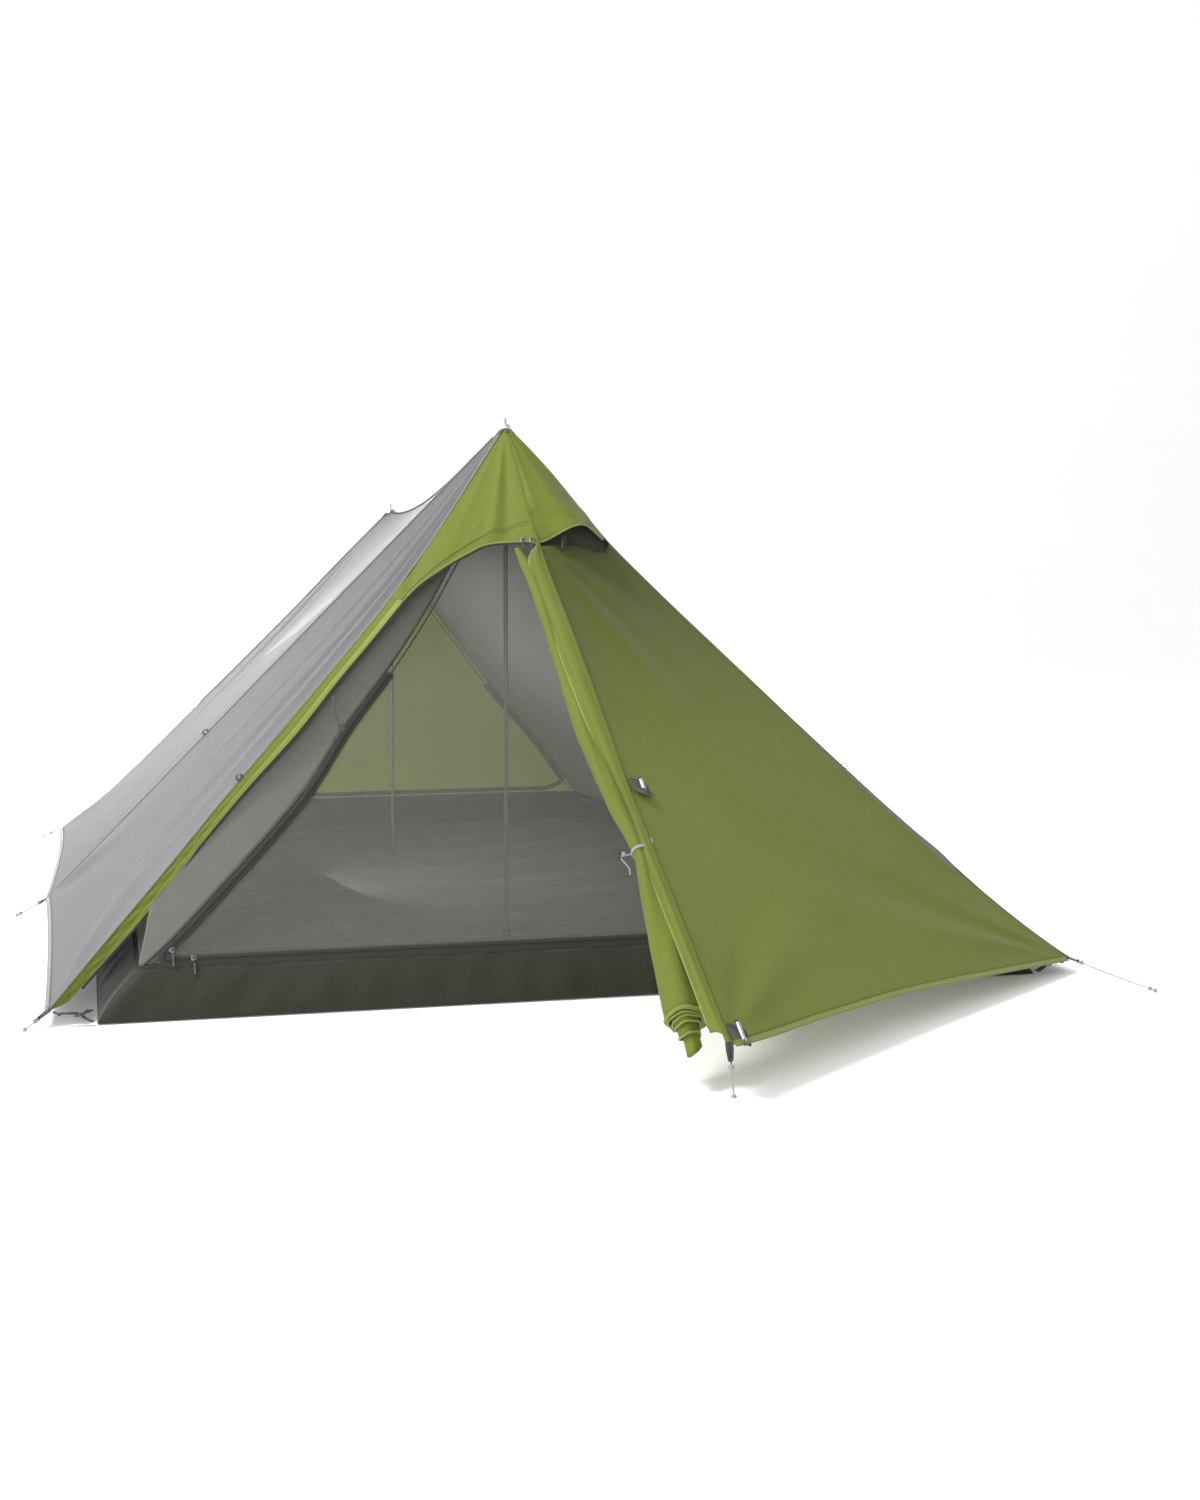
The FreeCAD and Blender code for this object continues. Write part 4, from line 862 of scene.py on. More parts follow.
# ------------------------------ inner tent
HEAD_EDGE = smooth([TUB_HEAD, (-0.837, -1.288, 0.142), (-0.734, -1.231, 0.231), (-0.628, -1.169, 0.326),
                    (-0.533, -1.109, 0.419), (-0.442, -1.036, 0.533), (-0.315, -0.947, 0.671),
                    (-0.221, -0.872, 0.787), (-0.163, -0.820, 0.868), (-0.085, -0.750,
                                                            0.975), INNER_HEAD], 121)
HEAD_OUTER = smooth([TUB_HEAD, (-0.885, -1.285, 0.147), (-0.868, -1.246, 0.207), (-0.775, -1.182, 0.307),
                     (-0.680, -1.122, 0.400), (-0.535, -1.025, 0.550), (-0.394, -0.928, 0.700),
                     (-0.250, -0.831, 0.850), (-0.112, -0.737, 1.000), INNER_HEAD], 101)
FOOT_EDGE = smooth([TUB_FOOT, (-0.560, 1.170, 0.276), (-0.350, 1.010, 0.487), (-0.250, 0.923, 0.601),
                    (-0.155, 0.844, 0.706), INNER_FOOT], 101)
INNER_RIDGE = smooth([INNER_HEAD, (0, -0.40, 1.040), (0, 0.0, 0.965), (0, 0.35, 0.915), (0, 0.55, 0.900),
                      INNER_FOOT],
                     91)


def around(head, foot, count_side, count_end):
    """Once round a four-cornered outline, from the left head corner to the right: head, right, foot, left."""
    corners = [head, mirror(head), mirror(foot), foot, head]
    counts = [count_end, count_side, count_end, count_side]
    runs = [np.linspace(a, b, n, endpoint=False) for a, b, n in zip(corners, corners[1:], counts)]
    return np.concatenate(runs)


floor_line = around(FLOOR_HEAD, FLOOR_FOOT, 120, 90)
top_line = around(TUB_HEAD, TUB_FOOT, 120, 90)
steps_in = np.concatenate([np.linspace(0, 0.96, 40), np.linspace(0.975, 1, 4)])
floor_part = floor_line[:, None] * steps_in[None, :, None]
floor_part[..., 2] = 0.0030
rise = np.linspace(0, 1, 15)[1:]
wall_part = floor_line[:, None] * (1 - rise[None, :, None]) + top_line[:, None] * rise[None, :, None]
level = floor_line * V(1, 1, 0)
level /= np.linalg.norm(level, axis=1, keepdims=True)
wall_part += level[:, None] * (0.010 * np.sin(rise * math.pi))[None, :, None]
tub = np.concatenate([floor_part, wall_part], axis=1)
run_at = along(floor_line)
x, y = tub[..., 0], tub[..., 1]
waves = (0.0016 * np.sin(9 * x + 3 * y + 1.5 * np.sin(4 * y))
         + 0.0014 * np.sin(23 * y - 9 * x + 2 * np.sin(5 * x))
         + 0.0008 * np.sin(41 * x + 17 * y))
tub[:, :44, 2] += (waves + 0.0036)[:, :44] * np.clip((1 - steps_in) * 12, 0, 1)[None]
creases = (0.0042 * np.sin(run_at * 26 + 4 * np.sin(run_at * 5)) + 0.003 * np.sin(run_at * 61 + 1))[:, None]
tub[:, 44:] += (level[:, None] * (creases * np.sin(rise * math.pi)[None])[..., None])
points = tub.reshape(-1, 3)
tub_uv = np.column_stack([points[:, 0], points[:, 1] + points[:, 2]])
tub_obj = mesh_piece("tub_cloth", points, grid_faces(*tub.shape[:2], wrap=True), "floor", uv=tub_uv,
                     slot="floor_fabric",
                     replaces=["floor_sheet", "tub_wall_head", "tub_wall_foot", "tub_wall_left",
                               "tub_wall_right"])
weld = tub_obj.modifiers.new("weld", "WELD")
weld.merge_threshold = 0.0002
thickness = tub_obj.modifiers.new("thickness", "SOLIDIFY")
thickness.thickness, thickness.offset = 0.0009, 0
loop = np.concatenate([top_line, top_line[:1]])
joined("tub_binding", [strap(loop, 0.012, 0.0022, side=V(0.01, 0.01, 1))], "zip", slot="zip_tape")
joined("tub_stitches", [stitches(loop - V(0, 0, 0.012), V(0, -1, 0), lift=0.0)], "thread",
       slot="floor_fabric")

for side, name in ((-1, "left"), (1, "right")):
    put = mirror if side > 0 else np.asarray
    foot_up, head_up = put(FOOT_EDGE), put(HEAD_OUTER)
    wall = tighten(coons(evenly(np.array([put(TUB_HEAD), put(TUB_FOOT)]), 91), INNER_RIDGE, head_up,
                         foot_up), 200)
    wall = wall + V(-side, 0, -0.6) * 0.012 * edge_fade(wall) * np.sin(np.linspace(0, math.pi, 91))[:, None,
                                                            None]
    wall = rippled(wall, fold(wall, put(TUB_HEAD), INNER_HEAD, put(TUB_FOOT), 12, 0.008, 0.26, 0.2, 0.8),
                   fold(wall, INNER_HEAD, put(TUB_HEAD), INNER_FOOT, 16, 0.007, 0.38, 1.2, 0.7),
                   fold(wall, put(TUB_FOOT), INNER_FOOT, put(TUB_HEAD), 10, 0.006, 0.25, 0.7, 0.8),
                   fold(wall, INNER_FOOT, put(TUB_FOOT), INNER_HEAD, 14, 0.006, 0.30, 0.7, 0.7))
    sheet("inner_wall_%s_cloth" % name, wall, "inner", (2.72, 1.36), "inner_nylon", held="hung",
          rests_on=["inner_peak_rings"], thick=0.0005, replaces=["inner_wall_" + name])

    panel = coons(put(HEAD_OUTER), put(evenly(HEAD_EDGE, 101)), np.repeat(put(TUB_HEAD)[None], 13, axis=0),
                  np.repeat(INNER_HEAD[None], 13, axis=0))
    # The head panels take the darker inner cloth: painted shade for the fly's shadow on them.
    sheet("inner_head_panel_" + name, panel, "inner_head_shaded", (0.16, 1.42), "inner_nylon", held="hung",
          rests_on=["inner_peak_rings"], thick=0.0005)

ZIP_BAND = 0.022


def mesh_front(name, edge, peak, lean, node, flat):
    """The netting in one end wall, above the zip band, and the line across the wall at the band."""
    start = int(np.searchsorted(along(edge), 0.004))
    left_edge = edge[start:-3]
    right_edge = mirror(left_edge)
    low = evenly(np.array([left_edge[0], right_edge[0]]), 81)
    low = low + V(0, 0, -0.004) * np.sin(np.linspace(0, math.pi, 81))[:, None]
    net = tighten(coons(low, evenly(np.array([left_edge[-1], right_edge[-1]]), 81), left_edge, right_edge),
                  60)
    net = rippled(net, fold(net, low[0], peak, low[-1], 7, 0.006, 0.30, 0.0, 0.6),
                  fold(net, low[-1], peak, low[0], 7, 0.006, 0.30, 0.5, 0.6))
    sheet(name + "_netting", net, "mesh", flat, "mesh", thick=0, rests_on=["inner_peak_rings"],
          replaces=[node])
    raised = int(np.searchsorted(along(edge), ZIP_BAND * 1.2))
    return evenly(np.array([edge[raised], mirror(edge[raised])]), 81)


head_low = mesh_front("mesh_door_head", HEAD_EDGE, INNER_HEAD, -1, "mesh_door_head",
                                             (1.72, 1.16))
foot_low = mesh_front("mesh_door_foot", FOOT_EDGE, INNER_FOOT, 1, "mesh_door_foot",
                                             (1.38, 1.00))
HEAD_WALL_OUT, FOOT_WALL_OUT = unit(V(0, -1.10, 0.71)), unit(V(0, 0.915, 0.695))
HEAD_WALL_UP, FOOT_WALL_UP = unit(V(0, 0.71, 1.10)), unit(V(0, -0.695, 0.915))
SIDE_RUN = {"head": 0.84, "foot": 0.56}
bands, coils, risers = [], [], []
# The corner number is how many points of each stretch the rounded corner takes the place of.
for key, edge, low, out, wall_up, corner in (("head", HEAD_EDGE, head_low, HEAD_WALL_OUT, HEAD_WALL_UP, 1),
                                             ("foot", FOOT_EDGE, foot_low, FOOT_WALL_OUT, FOOT_WALL_UP, 5)):
    riser = part_of(edge, ZIP_BAND * 1.2, ZIP_BAND * 1.2 + SIDE_RUN[key], 61)
    inside = np.cross(np.gradient(riser, axis=0), out)
    inside /= np.linalg.norm(inside, axis=1, keepdims=True)
    inside *= np.sign(inside[30, 0])
    line = riser + inside * 0.013
    bottom = low - wall_up * ZIP_BAND / 2
    track = smooth(np.concatenate([line[:corner:-1], bottom[corner:-corner], mirror(line[corner + 1:])]), 420)
    track = track + out * 0.0026
    inward = np.cross(np.gradient(track, axis=0), out)
    inward /= np.linalg.norm(inward, axis=1, keepdims=True)
    bands.append(swept(track, flat_section(ZIP_BAND * 0.8, 0.0016), sides=inward))
    coils.append(coil(track + out * 0.0016, wall_up))
    for side in (-1, 1):
        put = mirror if side > 0 else np.asarray
        for step_in in (0.002, 0.013):
            risers.append(tube(put(part_of(edge, 0.01, along(edge)[-1] - 0.03, 121)
                                   + np.resize(inside.mean(0) * step_in,
                                               (121, 3)) + out * 0.0016), 0.0013, 6))
joined("inner_zip_bands", bands, "zip", slot="zip_tape", replaces=["inner_door_zips"])
joined("inner_zip_coils", coils, "plastic", slot="zip_tape")
joined("inner_edge_bindings", risers, "zip", slot="zip_tape")

# ------------------------------ peaks, patches, toggles and the tie
def peak_piece(name, peak, hips, material):
    """A peak's reinforcement: short webbing straps down each seam, and the spike's grommet."""
    parts = []
    for line in hips:
        start = part_of(line, 0.003, 0.030, 9)
        out = unit(start[-1] * V(1, 0, 0) + V(0, start[-1][1] - peak[1], 0) + V(0, 0, 0.03))
        parts.append(strap(start + out * 0.0014, 0.009, 0.0014,
                           side=np.cross(unit(start[-1] - start[0]), out)))
    joined(name + "_webbing", parts, material, slot="webbing")
    parts = [turned([(0.0036, -0.010), (0.0125, -0.010), (0.0115, -0.002), (0.0075, 0.0015), (0.0040, 0.0025),
                     (0.0034, 0.001)], peak, (0, 0, 1), 28),
             ring(peak + V(0, 0, -0.001), (0, 0, 1), 0.0075, 0.0011)]
    return joined(name + "_grommet", parts, "tube", slot="webbing")


first = peak_piece("peak_head", HEAD_PEAK, [hip_left, hip_right, CENTRE_SEAM, RIDGE], "webbing")
peak_piece("peak_foot", FOOT_PEAK, [far_hip, mirror(far_hip), REAR_SEAM, RIDGE[::-1]], "webbing")
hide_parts("fly_peak_caps")
for name, peak in (("head", INNER_HEAD), ("foot", INNER_FOOT)):
    obj = joined("inner_ring_" + name,
                 [turned([(0.0066, 0.0), (0.019, -0.0004), (0.0198, 0.0006), (0.019, 0.0016),
                          (0.0066, 0.0016)],
                         peak, (0, 0, 1), 32), ring(peak + V(0, 0, 0.0012), (0, 0, 1), 0.0078, 0.0013)],
                 "webbing", slot="webbing")
    if name == "head":
        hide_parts("inner_peak_rings")


def rounded_patch(middle, along_axis, across_axis, half, thick, corner=0.25, bulge=0.0):
    """A square of stiff cloth with rounded corners, thicker at its stitched border."""
    normal = np.cross(along_axis, across_axis)
    rings = []
    for scale, height in ((1.0, 0.0), (0.985, thick), (0.90, thick * 1.0), (0.86, thick * 0.7),
                          (0.0, thick * 0.7 + bulge)):
        for a in np.linspace(0, 2 * math.pi, 48, endpoint=False):
            c, s = math.cos(a), math.sin(a)
            power = 2 / 7
            x = math.copysign(abs(c) ** power, c) * half * scale
            y = math.copysign(abs(s) ** power, s) * half * scale
            rings.append(middle + along_axis * x + across_axis * y + normal * height)
    faces = [(i * 48 + j, i * 48 + (j + 1) % 48, (i + 1) * 48 + (j + 1) % 48, (i + 1) * 48 + j)
             for i in range(4) for j in range(48)]
    faces.append(tuple(range(48))[::-1])
    return np.array(rings), faces


SEAM_LOW = V(0, -1.521, 0.540)
SEAM_RUN = unit(FRONT_HEM - SEAM_LOW)
PANEL_OUT = plane_normal(SEAM_LOW, FRONT_HEM, mirror(HEAD_CORNER), V(1, -3, 2))
PANEL_ACROSS = unit(np.cross(SEAM_RUN, PANEL_OUT))
PANEL_ACROSS = PANEL_ACROSS if PANEL_ACROSS[0] > 0 else -PANEL_ACROSS
patches = []
for key in ("mid", "hem"):
    low, high = (np.array(c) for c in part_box("seam_toggle_" + key))
    middle = (low + high) / 2
    sign = 1 if np.cross(SEAM_RUN, PANEL_ACROSS) @ PANEL_OUT > 0 else -1
    base = middle - PANEL_OUT * 0.0072
    patches.append(rounded_patch(base, SEAM_RUN, PANEL_ACROSS * sign, 0.0225, 0.0012))
    half = 0.014 if key == "mid" else 0.021
    body = turned([(0.0033, -half), (0.0042, -half), (0.0045, -half + 0.0006), (0.0045, half - 0.0006),
                   (0.0042, half), (0.0033, half)], middle, SEAM_RUN, 28)
    joined("seam_toggle_%s_tube" % key, [body], "tube", body="seam_toggle_" + key, slot="toggle_metal",
           replaces=["seam_toggle_" + key])
    cord_ends = [tube([middle - SEAM_RUN * (half + 0.010) - PANEL_OUT * 0.003, middle - SEAM_RUN * half,
                       middle, middle + SEAM_RUN * half,
                       middle + SEAM_RUN * (half + 0.010) - PANEL_OUT * 0.003],
                      0.0016, 8),
                 knot(middle - SEAM_RUN * (half + 0.007), SEAM_RUN, 0.003, 0.0013),
                 knot(middle + SEAM_RUN * (half + 0.007), SEAM_RUN, 0.003, 0.0013)]
    joined("seam_toggle_%s_cord" % key, cord_ends, "dark_cord", slot="cord")
for y in (HEAD_PEAK[1], FOOT_PEAK[1]):
    patches.append(turned([(0.060, 0.0), (0.0597, 0.0013), (0.054, 0.0015), (0.051, 0.0011), (0.0, 0.0011)],
                          V(0, y, 0.0052), (0, 0, 1), 56))
joined("patches", patches, "patch", slot="patch", replaces=["reinforcement_patches"])

tie_low, tie_high = (np.array(c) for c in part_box("door_tie_toggle"))
tie_middle = (tie_low + tie_high) / 2
tie_centre = V(-0.016, -1.775, 0.358)
tie_axis = unit(V(-0.046, -2.000, 0.148) - V(-0.036, -1.500, 0.511))
joined("tie_band", [ring(tie_centre, tie_axis, 0.0165, 0.0016, 48),
                    ring(tie_centre + tie_axis * 0.0034, tie_axis, 0.0163, 0.0016, 48),
                    tube(smooth([tie_centre + V(0.014, 0, 0.006), tie_centre + V(0.024, 0.002, 0.018),
                                 tie_centre + V(0.022, 0.004, 0.024)], 12), 0.0015),
                    tube(smooth([tie_centre + V(-0.014, -0.002, -0.004), tie_middle + V(0.008, 0, 0.001),
                                 tie_middle], 12), 0.0015),
                    knot(tie_middle + V(0.009, 0, 0.003), (1, 0, 0.2), 0.0040, 0.0015)],
       "cord", slot="cord", replaces=["door_tie_band"])
joined("tie_toggle", [turned([(0.0016, -0.0088), (0.0030, -0.009), (0.0035, -0.0082), (0.0035, -0.003),
                              (0.0026, -0.0016), (0.0026, 0.0016), (0.0035, 0.003), (0.0035, 0.0082),
                              (0.0030, 0.009), (0.0016, 0.0088)], tie_middle, (0, 0, 1), 24)],
       "plastic", body="door_tie_toggle", slot="black_plastic", replaces=["door_tie_toggle"])
tie_tail = smooth([tie_middle + V(0.002, -0.003, -0.003), tie_middle + V(0.010, -0.008, -0.012),
                   tie_middle + V(0.017, -0.010, -0.022), tie_middle + V(0.019, -0.010, -0.034)], 30)
joined("tie_cord_tail", [tube(tie_tail, 0.0014)], "cord", slot="cord")

# ------------------------------ sliders, pulls, strut, hooks, straps and tabs
def own_axes(node):
    """A node's middle and its directions, from the longest to the shortest."""
    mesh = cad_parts[node].data
    points = np.empty(len(mesh.vertices) * 3)
    mesh.vertices.foreach_get("co", points)
    points = points.reshape(-1, 3)
    low, high = (np.array(c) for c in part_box(node))
    centre = (low + high) / 2
    corners = np.unique(np.round(points, 5), axis=0)
    directions = np.linalg.svd(corners - corners.mean(0), full_matrices=False)[2]
    return centre, directions, corners


def slider(node, outward_hint):
    """A zip slider: two plates joined by a post, with a bridge over the top for its pull."""
    centre, directions, corners = own_axes(node)
    spans = [np.ptp(corners @ d) for d in directions]
    order = np.argsort(spans)
    normal = directions[order[0]]
    normal = normal if normal @ outward_hint > 0 else -normal
    length_axis = directions[order[1]]
    width_axis = np.cross(normal, length_axis)
    parts = []
    for height in (-0.0017, 0.0009):
        outline = [(-0.0055, -0.004), (-0.0045, -0.0055), (-0.001, -0.0056), (0.0035, -0.0034),
                   (0.0055, -0.0028),
                   (0.0055, 0.0028), (0.0035, 0.0034), (-0.001, 0.0056), (-0.0045, 0.0055), (-0.0055, 0.004)]
        ring_points = []
        for scale, h in ((0.90, height), (1.0, height + 0.0003), (1.0, height + 0.0007),
                         (0.90, height + 0.0010)):
            ring_points += [centre + length_axis * a * scale + width_axis * b * scale + normal * h for a,
                            b in outline]
        k = len(outline)
        faces = [(i * k + j, i * k + (j + 1) % k, (i + 1) * k + (j + 1) % k, (i + 1) * k + j)
                 for i in range(3) for j in range(k)]
        faces += [tuple(range(k))[::-1], tuple(3 * k + j for j in range(k))]
        parts.append((np.array(ring_points), faces))
    parts.append(turned([(0.0012, -0.0010), (0.0012, 0.0012)], centre - length_axis * 0.003, normal, 12))
    bridge = [centre + length_axis * a + normal * b for a, b in
              ((-0.0042, 0.0012), (-0.0035, 0.0030), (0, 0.0036), (0.0035, 0.0030), (0.0042, 0.0012))]
    parts.append(strap(smooth(bridge, 16), 0.0026, 0.0009, side=width_axis))
    joined(node + "_body", parts, "slider", body=node, slot="slider_metal", replaces=[node])


def pull(node, slider_node):
    """A cord pull: two strands from the slider to a moulded grip."""
    low, high = (np.array(c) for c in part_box(node))
    centre, directions, corners = own_axes(node)
    axis = directions[0]
    slider_middle = sum(np.array(c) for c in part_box(slider_node)) / 2
    run = (corners - centre) @ axis
    if np.linalg.norm(centre + axis * run.max() - slider_middle) < np.linalg.norm(centre + axis * run.min()
                                                                                 - slider_middle):
        axis = -axis
    half = np.ptp(run) / 2
    start = centre - axis * half
    side = unit(np.cross(axis, V(0.2, 1, 0.1)))
    strands = [tube(smooth([start + side * s * 0.0004, start + axis * 0.009 + side * s * 0.0016,
                            start + axis * 0.0185 + side * s * 0.0006], 14), 0.0009) for s in (-1, 1)]
    grip = turned([(0.0010, 0.0), (0.0017, 0.0004), (0.0021, 0.002), (0.0018, 0.0035), (0.0021, 0.005),
                   (0.0019, 0.0075), (0.0008, 0.0082)], start + axis * 0.0180, axis, 20)
    joined(node + "_cord", strands + [grip], "dark_cord", body=node, slot="cord", replaces=[node])


for key in ("lead", "tail"):
    slider("door_slider_" + key, FRONT_NORMAL)
    pull("door_pull_" + key, "door_slider_" + key)
for key in ("bottom", "side"):
    slider("inner_slider_" + key, HEAD_WALL_OUT)
    pull("inner_pull_" + key, "inner_slider_" + key)

strut_middle = own_axes("vent_strut")[0]
STRUT_AXIS, STRUT_HALF = unit(V(0.0674, -0.9335, 0.9365) - V(0.0587, -0.9574, 0.9030)), 0.0205
strut_ends = [strut_middle - STRUT_AXIS * STRUT_HALF, strut_middle, strut_middle + STRUT_AXIS * STRUT_HALF]
STRUT_FLAT = unit(V(0.873, 0.487, 0.023))
joined("vent_strut_bar",
       [strap(evenly(np.array(strut_ends), 9), 0.011, 0.0034, side=STRUT_FLAT),
        strap(evenly(np.array(strut_ends[1:]), 7), 0.013, 0.0046, side=STRUT_FLAT),
        turned([(0.0016, -0.0066), (0.0022, -0.006), (0.0022, 0.006), (0.0016, 0.0066)],
               strut_ends[0], STRUT_FLAT, 14)],
       "plastic", body="vent_strut", slot="black_plastic", replaces=["vent_strut"])

for node in ("head_left", "head_right", "foot_left", "foot_right"):
    name = "corner_hook_" + node
    centre, directions, corners = own_axes(name)
    axis = directions[0] if directions[0] @ (centre * V(1, 1, 0)) > 0 else -directions[0]
    up = V(0, 0, 1)
    side = unit(np.cross(up, axis))
    frame_line = [centre - axis * 0.0165 + side * 0.005, centre - axis * 0.0165 - side * 0.005]
    parts = [strap(evenly(np.array(frame_line), 5), 0.0030, 0.0028, side=axis),
             strap(evenly(np.array([centre - axis * 0.0165 + side * 0.0047,
                                    centre - axis * 0.002 + side * 0.0047]), 5),
                   0.0026, 0.0028, side=side),
             strap(evenly(np.array([centre - axis * 0.0165 - side * 0.0047,
                                    centre - axis * 0.002 - side * 0.0047]), 5),
                   0.0026, 0.0028, side=side),
             strap(smooth([centre - axis * 0.004, centre + axis * 0.006, centre + axis * 0.017], 14), 0.0075,
                   0.0028, side=side),
             strap(evenly(np.array([centre - axis * 0.003 + side * 0.0055,
                                    centre - axis * 0.003 - side * 0.0055]), 5),
                   0.0030, 0.0028, side=axis)]
    joined(name + "_moulding", parts, "plastic", body=name, slot="black_plastic", replaces=[name])

# Webbing: straps from the tub's corners to their rings, tabs at the hem corners, loops on the seams.
RING_SHARE = 0.36
STRAP_WIDTH, STRAP_THICK = 0.015, 0.0020
RING_RADIUS, RING_WIRE, SHOCK_CORD_RADIUS = 0.0085, 0.0021, 0.0024
TAB_WIDTH, TAB_THICK = 0.009, 0.0018
straps, ties = [], []
for end, floor_corner, fly_corner, lengthwise in (("head", V(-0.985, -1.38, 0), HEAD_CORNER, 1),
                                                  ("foot", V(-0.80, 1.38, 0), FOOT_CORNER, -1)):
    for side in (-1, 1):
        put = mirror if side > 0 else np.asarray
        corner, outside = put(floor_corner), put(fly_corner)
        meeting = corner + (outside - corner) * RING_SHARE + V(0, 0, 0.010)
        for start, aim in ((corner + V(0.008 * side, 0, 0.008), meeting + V(-0.004 * side, 0, 0)),
                           (corner + V(0.008 * side, 0.092 * lengthwise, 0.012),
                            meeting + V(-0.004 * side, 0.016 * lengthwise, 0))):
            middle = (start + aim) / 2 - V(0, 0, 0.0015)
            straps.append(strap(smooth([start, middle, aim], 15), STRAP_WIDTH, STRAP_THICK))
        straps.append(ring(meeting, (0.15 * side, 0.2, 1), RING_RADIUS, RING_WIRE))
        hook_end = outside + V(-0.012 * side, 0, -0.001)
        cord_line = smooth([meeting + V(0.040 * side, 0.001, 0.003),
                            (meeting + hook_end) / 2 + V(0.012 * side, 0, -0.002),
                            hook_end], 18)
        ties.append(tube(cord_line, SHOCK_CORD_RADIUS))
joined("corner_straps_webbing", straps, "webbing", slot="webbing", replaces=["corner_straps"])
joined("corner_shock_cords", ties, "dark_cord", slot="cord")
tabs = []
for name, (corner, stake, droop, length) in GUY_ROUTES.items():
    heading = unit(stake - corner)
    side = unit(np.cross(heading, V(0, 0, 1) if abs(heading[2]) < 0.9 else V(0, 1, 0)))
    for spread in (-1, 1):
        tabs.append(strap(smooth([corner - heading * 0.006 + side * spread * 0.003, corner + heading * 0.010
                                  + side * spread * 0.0022, corner + heading * 0.0262], 12),
                                  TAB_WIDTH, TAB_THICK, side=side))
    tabs.append(ring(corner + heading * 0.0262, side, 0.0036, 0.0013, 20))
LOOP_SHARE = 0.63


def seam_loop(line, share, out):
    """A folded loop of narrow webbing standing off a seam."""
    at = along(line)[-1] * share
    root = part_of(line, at - 0.006, at + 0.006, 3)
    direction = unit(root[2] - root[0])
    path = smooth([root[0], root[0] + out * 0.006 - direction * 0.001, root[1] + out * 0.011,
                   root[2] + out * 0.006 + direction * 0.001, root[2]], 22)
    return strap(path, 0.008, 0.0016, side=np.cross(direction, out))


side_seam_left = evenly(np.array([HEAD_PEAK, SIDE_CORNER]), 60)
for side in (-1, 1):
    put = mirror if side > 0 else np.asarray
    hip = hip_right if side > 0 else hip_left
    tabs += [seam_loop(hip, LOOP_SHARE, put(HIP_OUT)), seam_loop(put(far_hip), LOOP_SHARE, put(FAR_HIP_OUT)),
             seam_loop(put(side_seam_left), LOOP_SHARE, put(SIDE_NORMAL))]
joined("webbing_loops", tabs, "webbing", slot="webbing", replaces=["webbing_tabs"])

TIE_START, TIE_END = V(-0.455, -1.062, 0.540), V(-0.467, -1.068, 0.600)
bow = smooth([TIE_START, (TIE_START + TIE_END) / 2 + V(-0.004, -0.004, 0.0), TIE_END], 20)
joined("inner_edge_tie_cord", [tube(bow, 0.0015), ring(TIE_START + V(0.004, 0, -0.004), (0.2, -0.9, 0.4),
                                                       0.0075, 0.0014),
                               knot(TIE_START, (0, 0, 1), 0.0032, 0.0013), knot(TIE_END, (0, 0, 1), 0.0032,
                                                            0.0013)],
       "dark_cord", slot="cord", replaces=["inner_edge_tie"])

# ------------------------------ CAD nodes that are shown as they are
for node, material, slot_name in (("pole_head_lower_section", "pole", "pole_tube"),
                                  ("pole_head_upper_section", "pole", "pole_tube"),
                                  ("pole_foot_lower_section", "pole", "pole_tube"),
                                  ("pole_foot_upper_section", "pole", "pole_tube"),
                                  ("pole_ferrules", "ferrule", "steel"), ("pole_spikes", "steel", "steel"),
                                  ("pole_feet", "rubber", "rubber")):
    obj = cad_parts[node]
    obj.data.materials.clear()
    obj.data.materials.append(M[material])
shown = {o.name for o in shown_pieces()}
for node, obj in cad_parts.items():
    if obj.name not in shown:
        obj.data.materials.clear()
        obj.data.materials.append(M["fly_grey"])

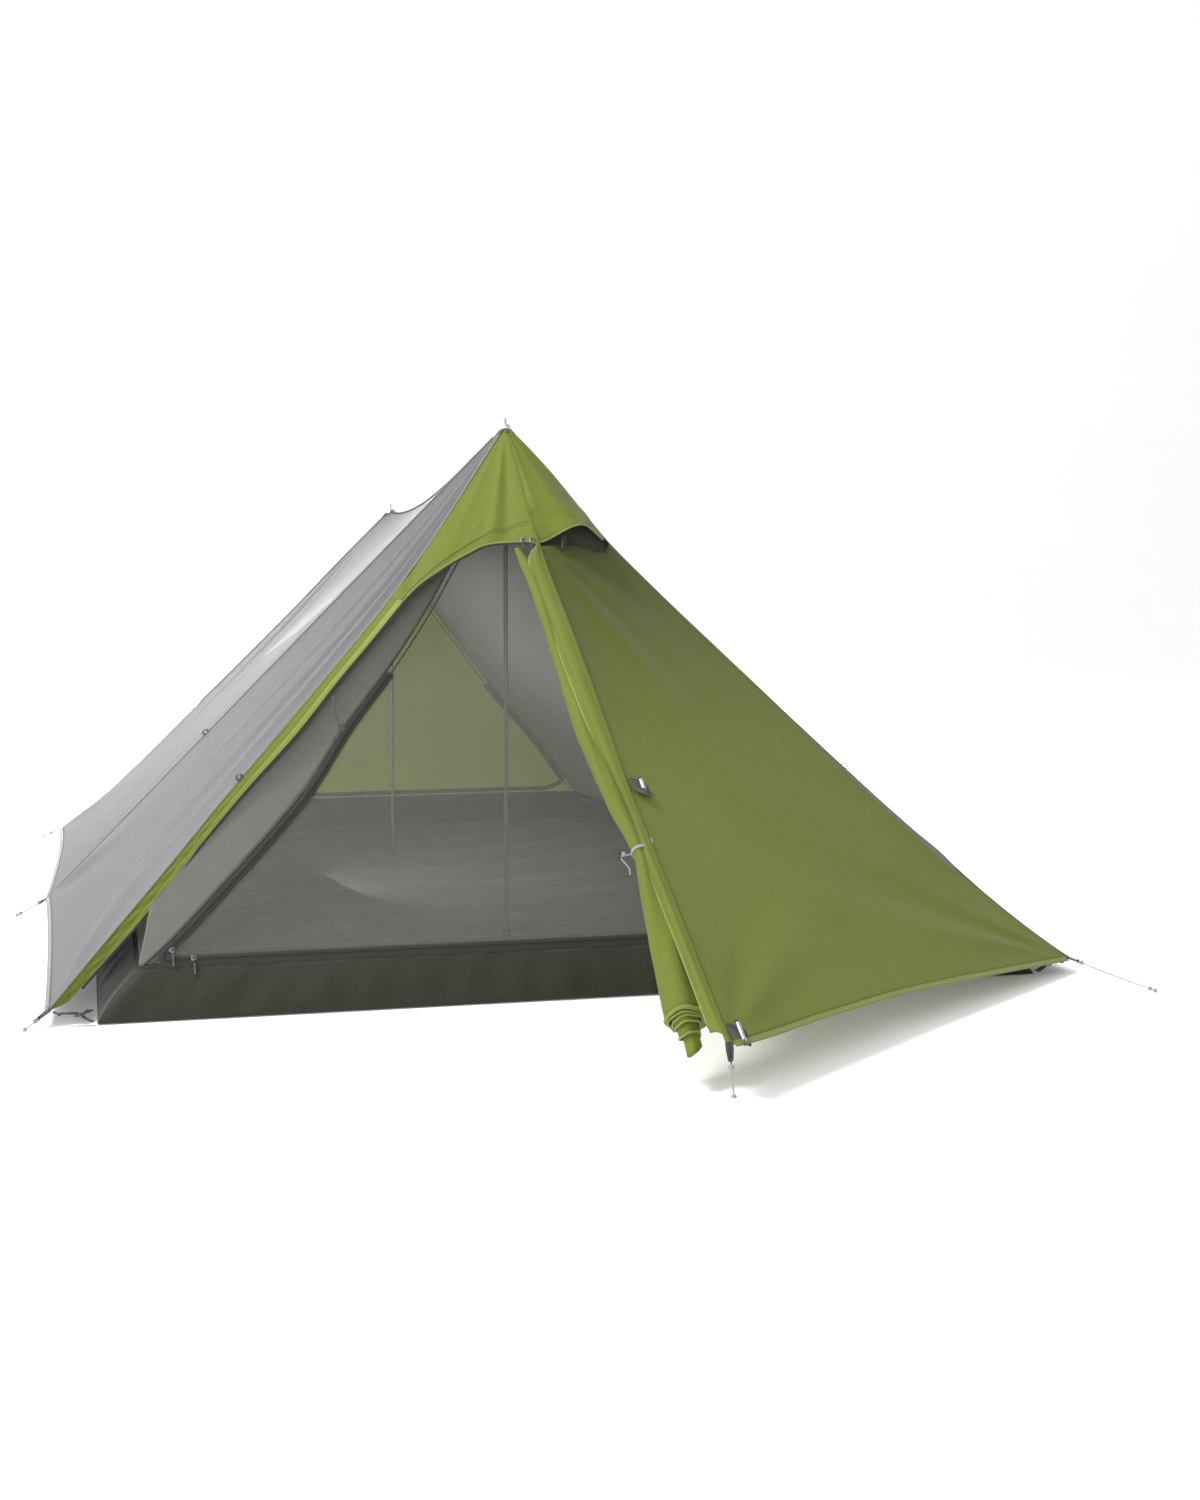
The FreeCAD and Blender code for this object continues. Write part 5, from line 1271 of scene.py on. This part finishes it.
# ------------------------------ floor and light
def backdrop():
    """A white floor that curves up far behind the tent."""
    profile = [(-14, 0)] + [(y, 0) for y in np.linspace(-12, 7, 20)]
    profile += [(7 + 4 * math.sin(a), 4 - 4 * math.cos(a)) for a in np.linspace(0.1, math.pi / 2,
                                                            14)] + [(11, 14)]
    points = [(x, y, z) for x in np.linspace(-16, 16, 9) for y, z in profile]
    count = len(profile)
    faces = [(i * count + j, (i + 1) * count + j, (i + 1) * count + j + 1, i * count + j + 1)
             for i in range(8) for j in range(count - 1)]
    data = bpy.data.meshes.new("floor")
    data.from_pydata(points, [], faces)
    data.polygons.foreach_set("use_smooth", [True] * len(data.polygons))
    material, tree, out = new_material("studio_floor")
    place = add(tree, "TexCoord").outputs["Object"]
    noise = add(tree, "TexNoise", {"Vector": place, "Scale": 0.8}).outputs["Fac"]
    shader = add(tree, "BsdfPrincipled", {"Base Color": shades(tree, noise, (0.93, 0.93, 0.93),
                                                            (0.95, 0.95, 0.95)),
                                          "Roughness": 0.9, "Specular IOR Level": 0.1,
                                          "Emission Color": (1, 1, 1,
                                                            1), "Emission Strength": 0.10}).outputs[0]
    tree.links.new(shader, out.inputs["Surface"])
    data.materials.append(material)
    obj = bpy.data.objects.new("floor", data)
    scene.collection.objects.link(obj)


def area_light(name, place, aim, size, power, colour=(1, 1, 1)):
    data = bpy.data.lights.new(name, "AREA")
    data.shape, data.size, data.energy, data.color = "DISK", size, power, colour
    obj = bpy.data.objects.new(name, data)
    obj.location = place
    obj.rotation_euler = (Vector(aim) - Vector(place)).to_track_quat("-Z", "Y").to_euler()
    obj.visible_camera = False
    scene.collection.objects.link(obj)


backdrop()
world = bpy.data.worlds.new("world")
scene.world = world
world.use_nodes = True
sky = world.node_tree
directions = add(sky, "TexCoord").outputs["Generated"]
split = add(sky, "SeparateXYZ", {"Vector": directions})
lean = add(sky, "Math", {0: split.outputs["X"], 1: -0.85}, operation="MULTIPLY").outputs[0]
from_left = add(sky, "MapRange", {"Value": lean, "From Min": -1.0, "From Max": 1.0, "To Min": 0.25,
                                  "To Max": 1.30})
sky.links.new(from_left.outputs[0], sky.nodes["Background"].inputs["Strength"])
sky.nodes["Background"].inputs["Color"].default_value = (1, 1, 1, 1)
area_light("key", (-3.8, 0.2, 6.6), (0, -0.4, 0.3), 2.0, 430)
area_light("fill", (-3.0, -7.5, 1.8), (0, -1.0, 0.4), 3.0, 150)
area_light("back", (0.3, 6.0, 1.7), (0, 1.4, 0.4), 2.6, 850)
# This disc is too big for its place: its top edge comes out through the left of the fly.
area_light("inside", (-0.30, 0.15, 0.42), (0.75, 0.30, 0.60), 0.9, 4.5)
scene.view_settings.view_transform = "Standard"
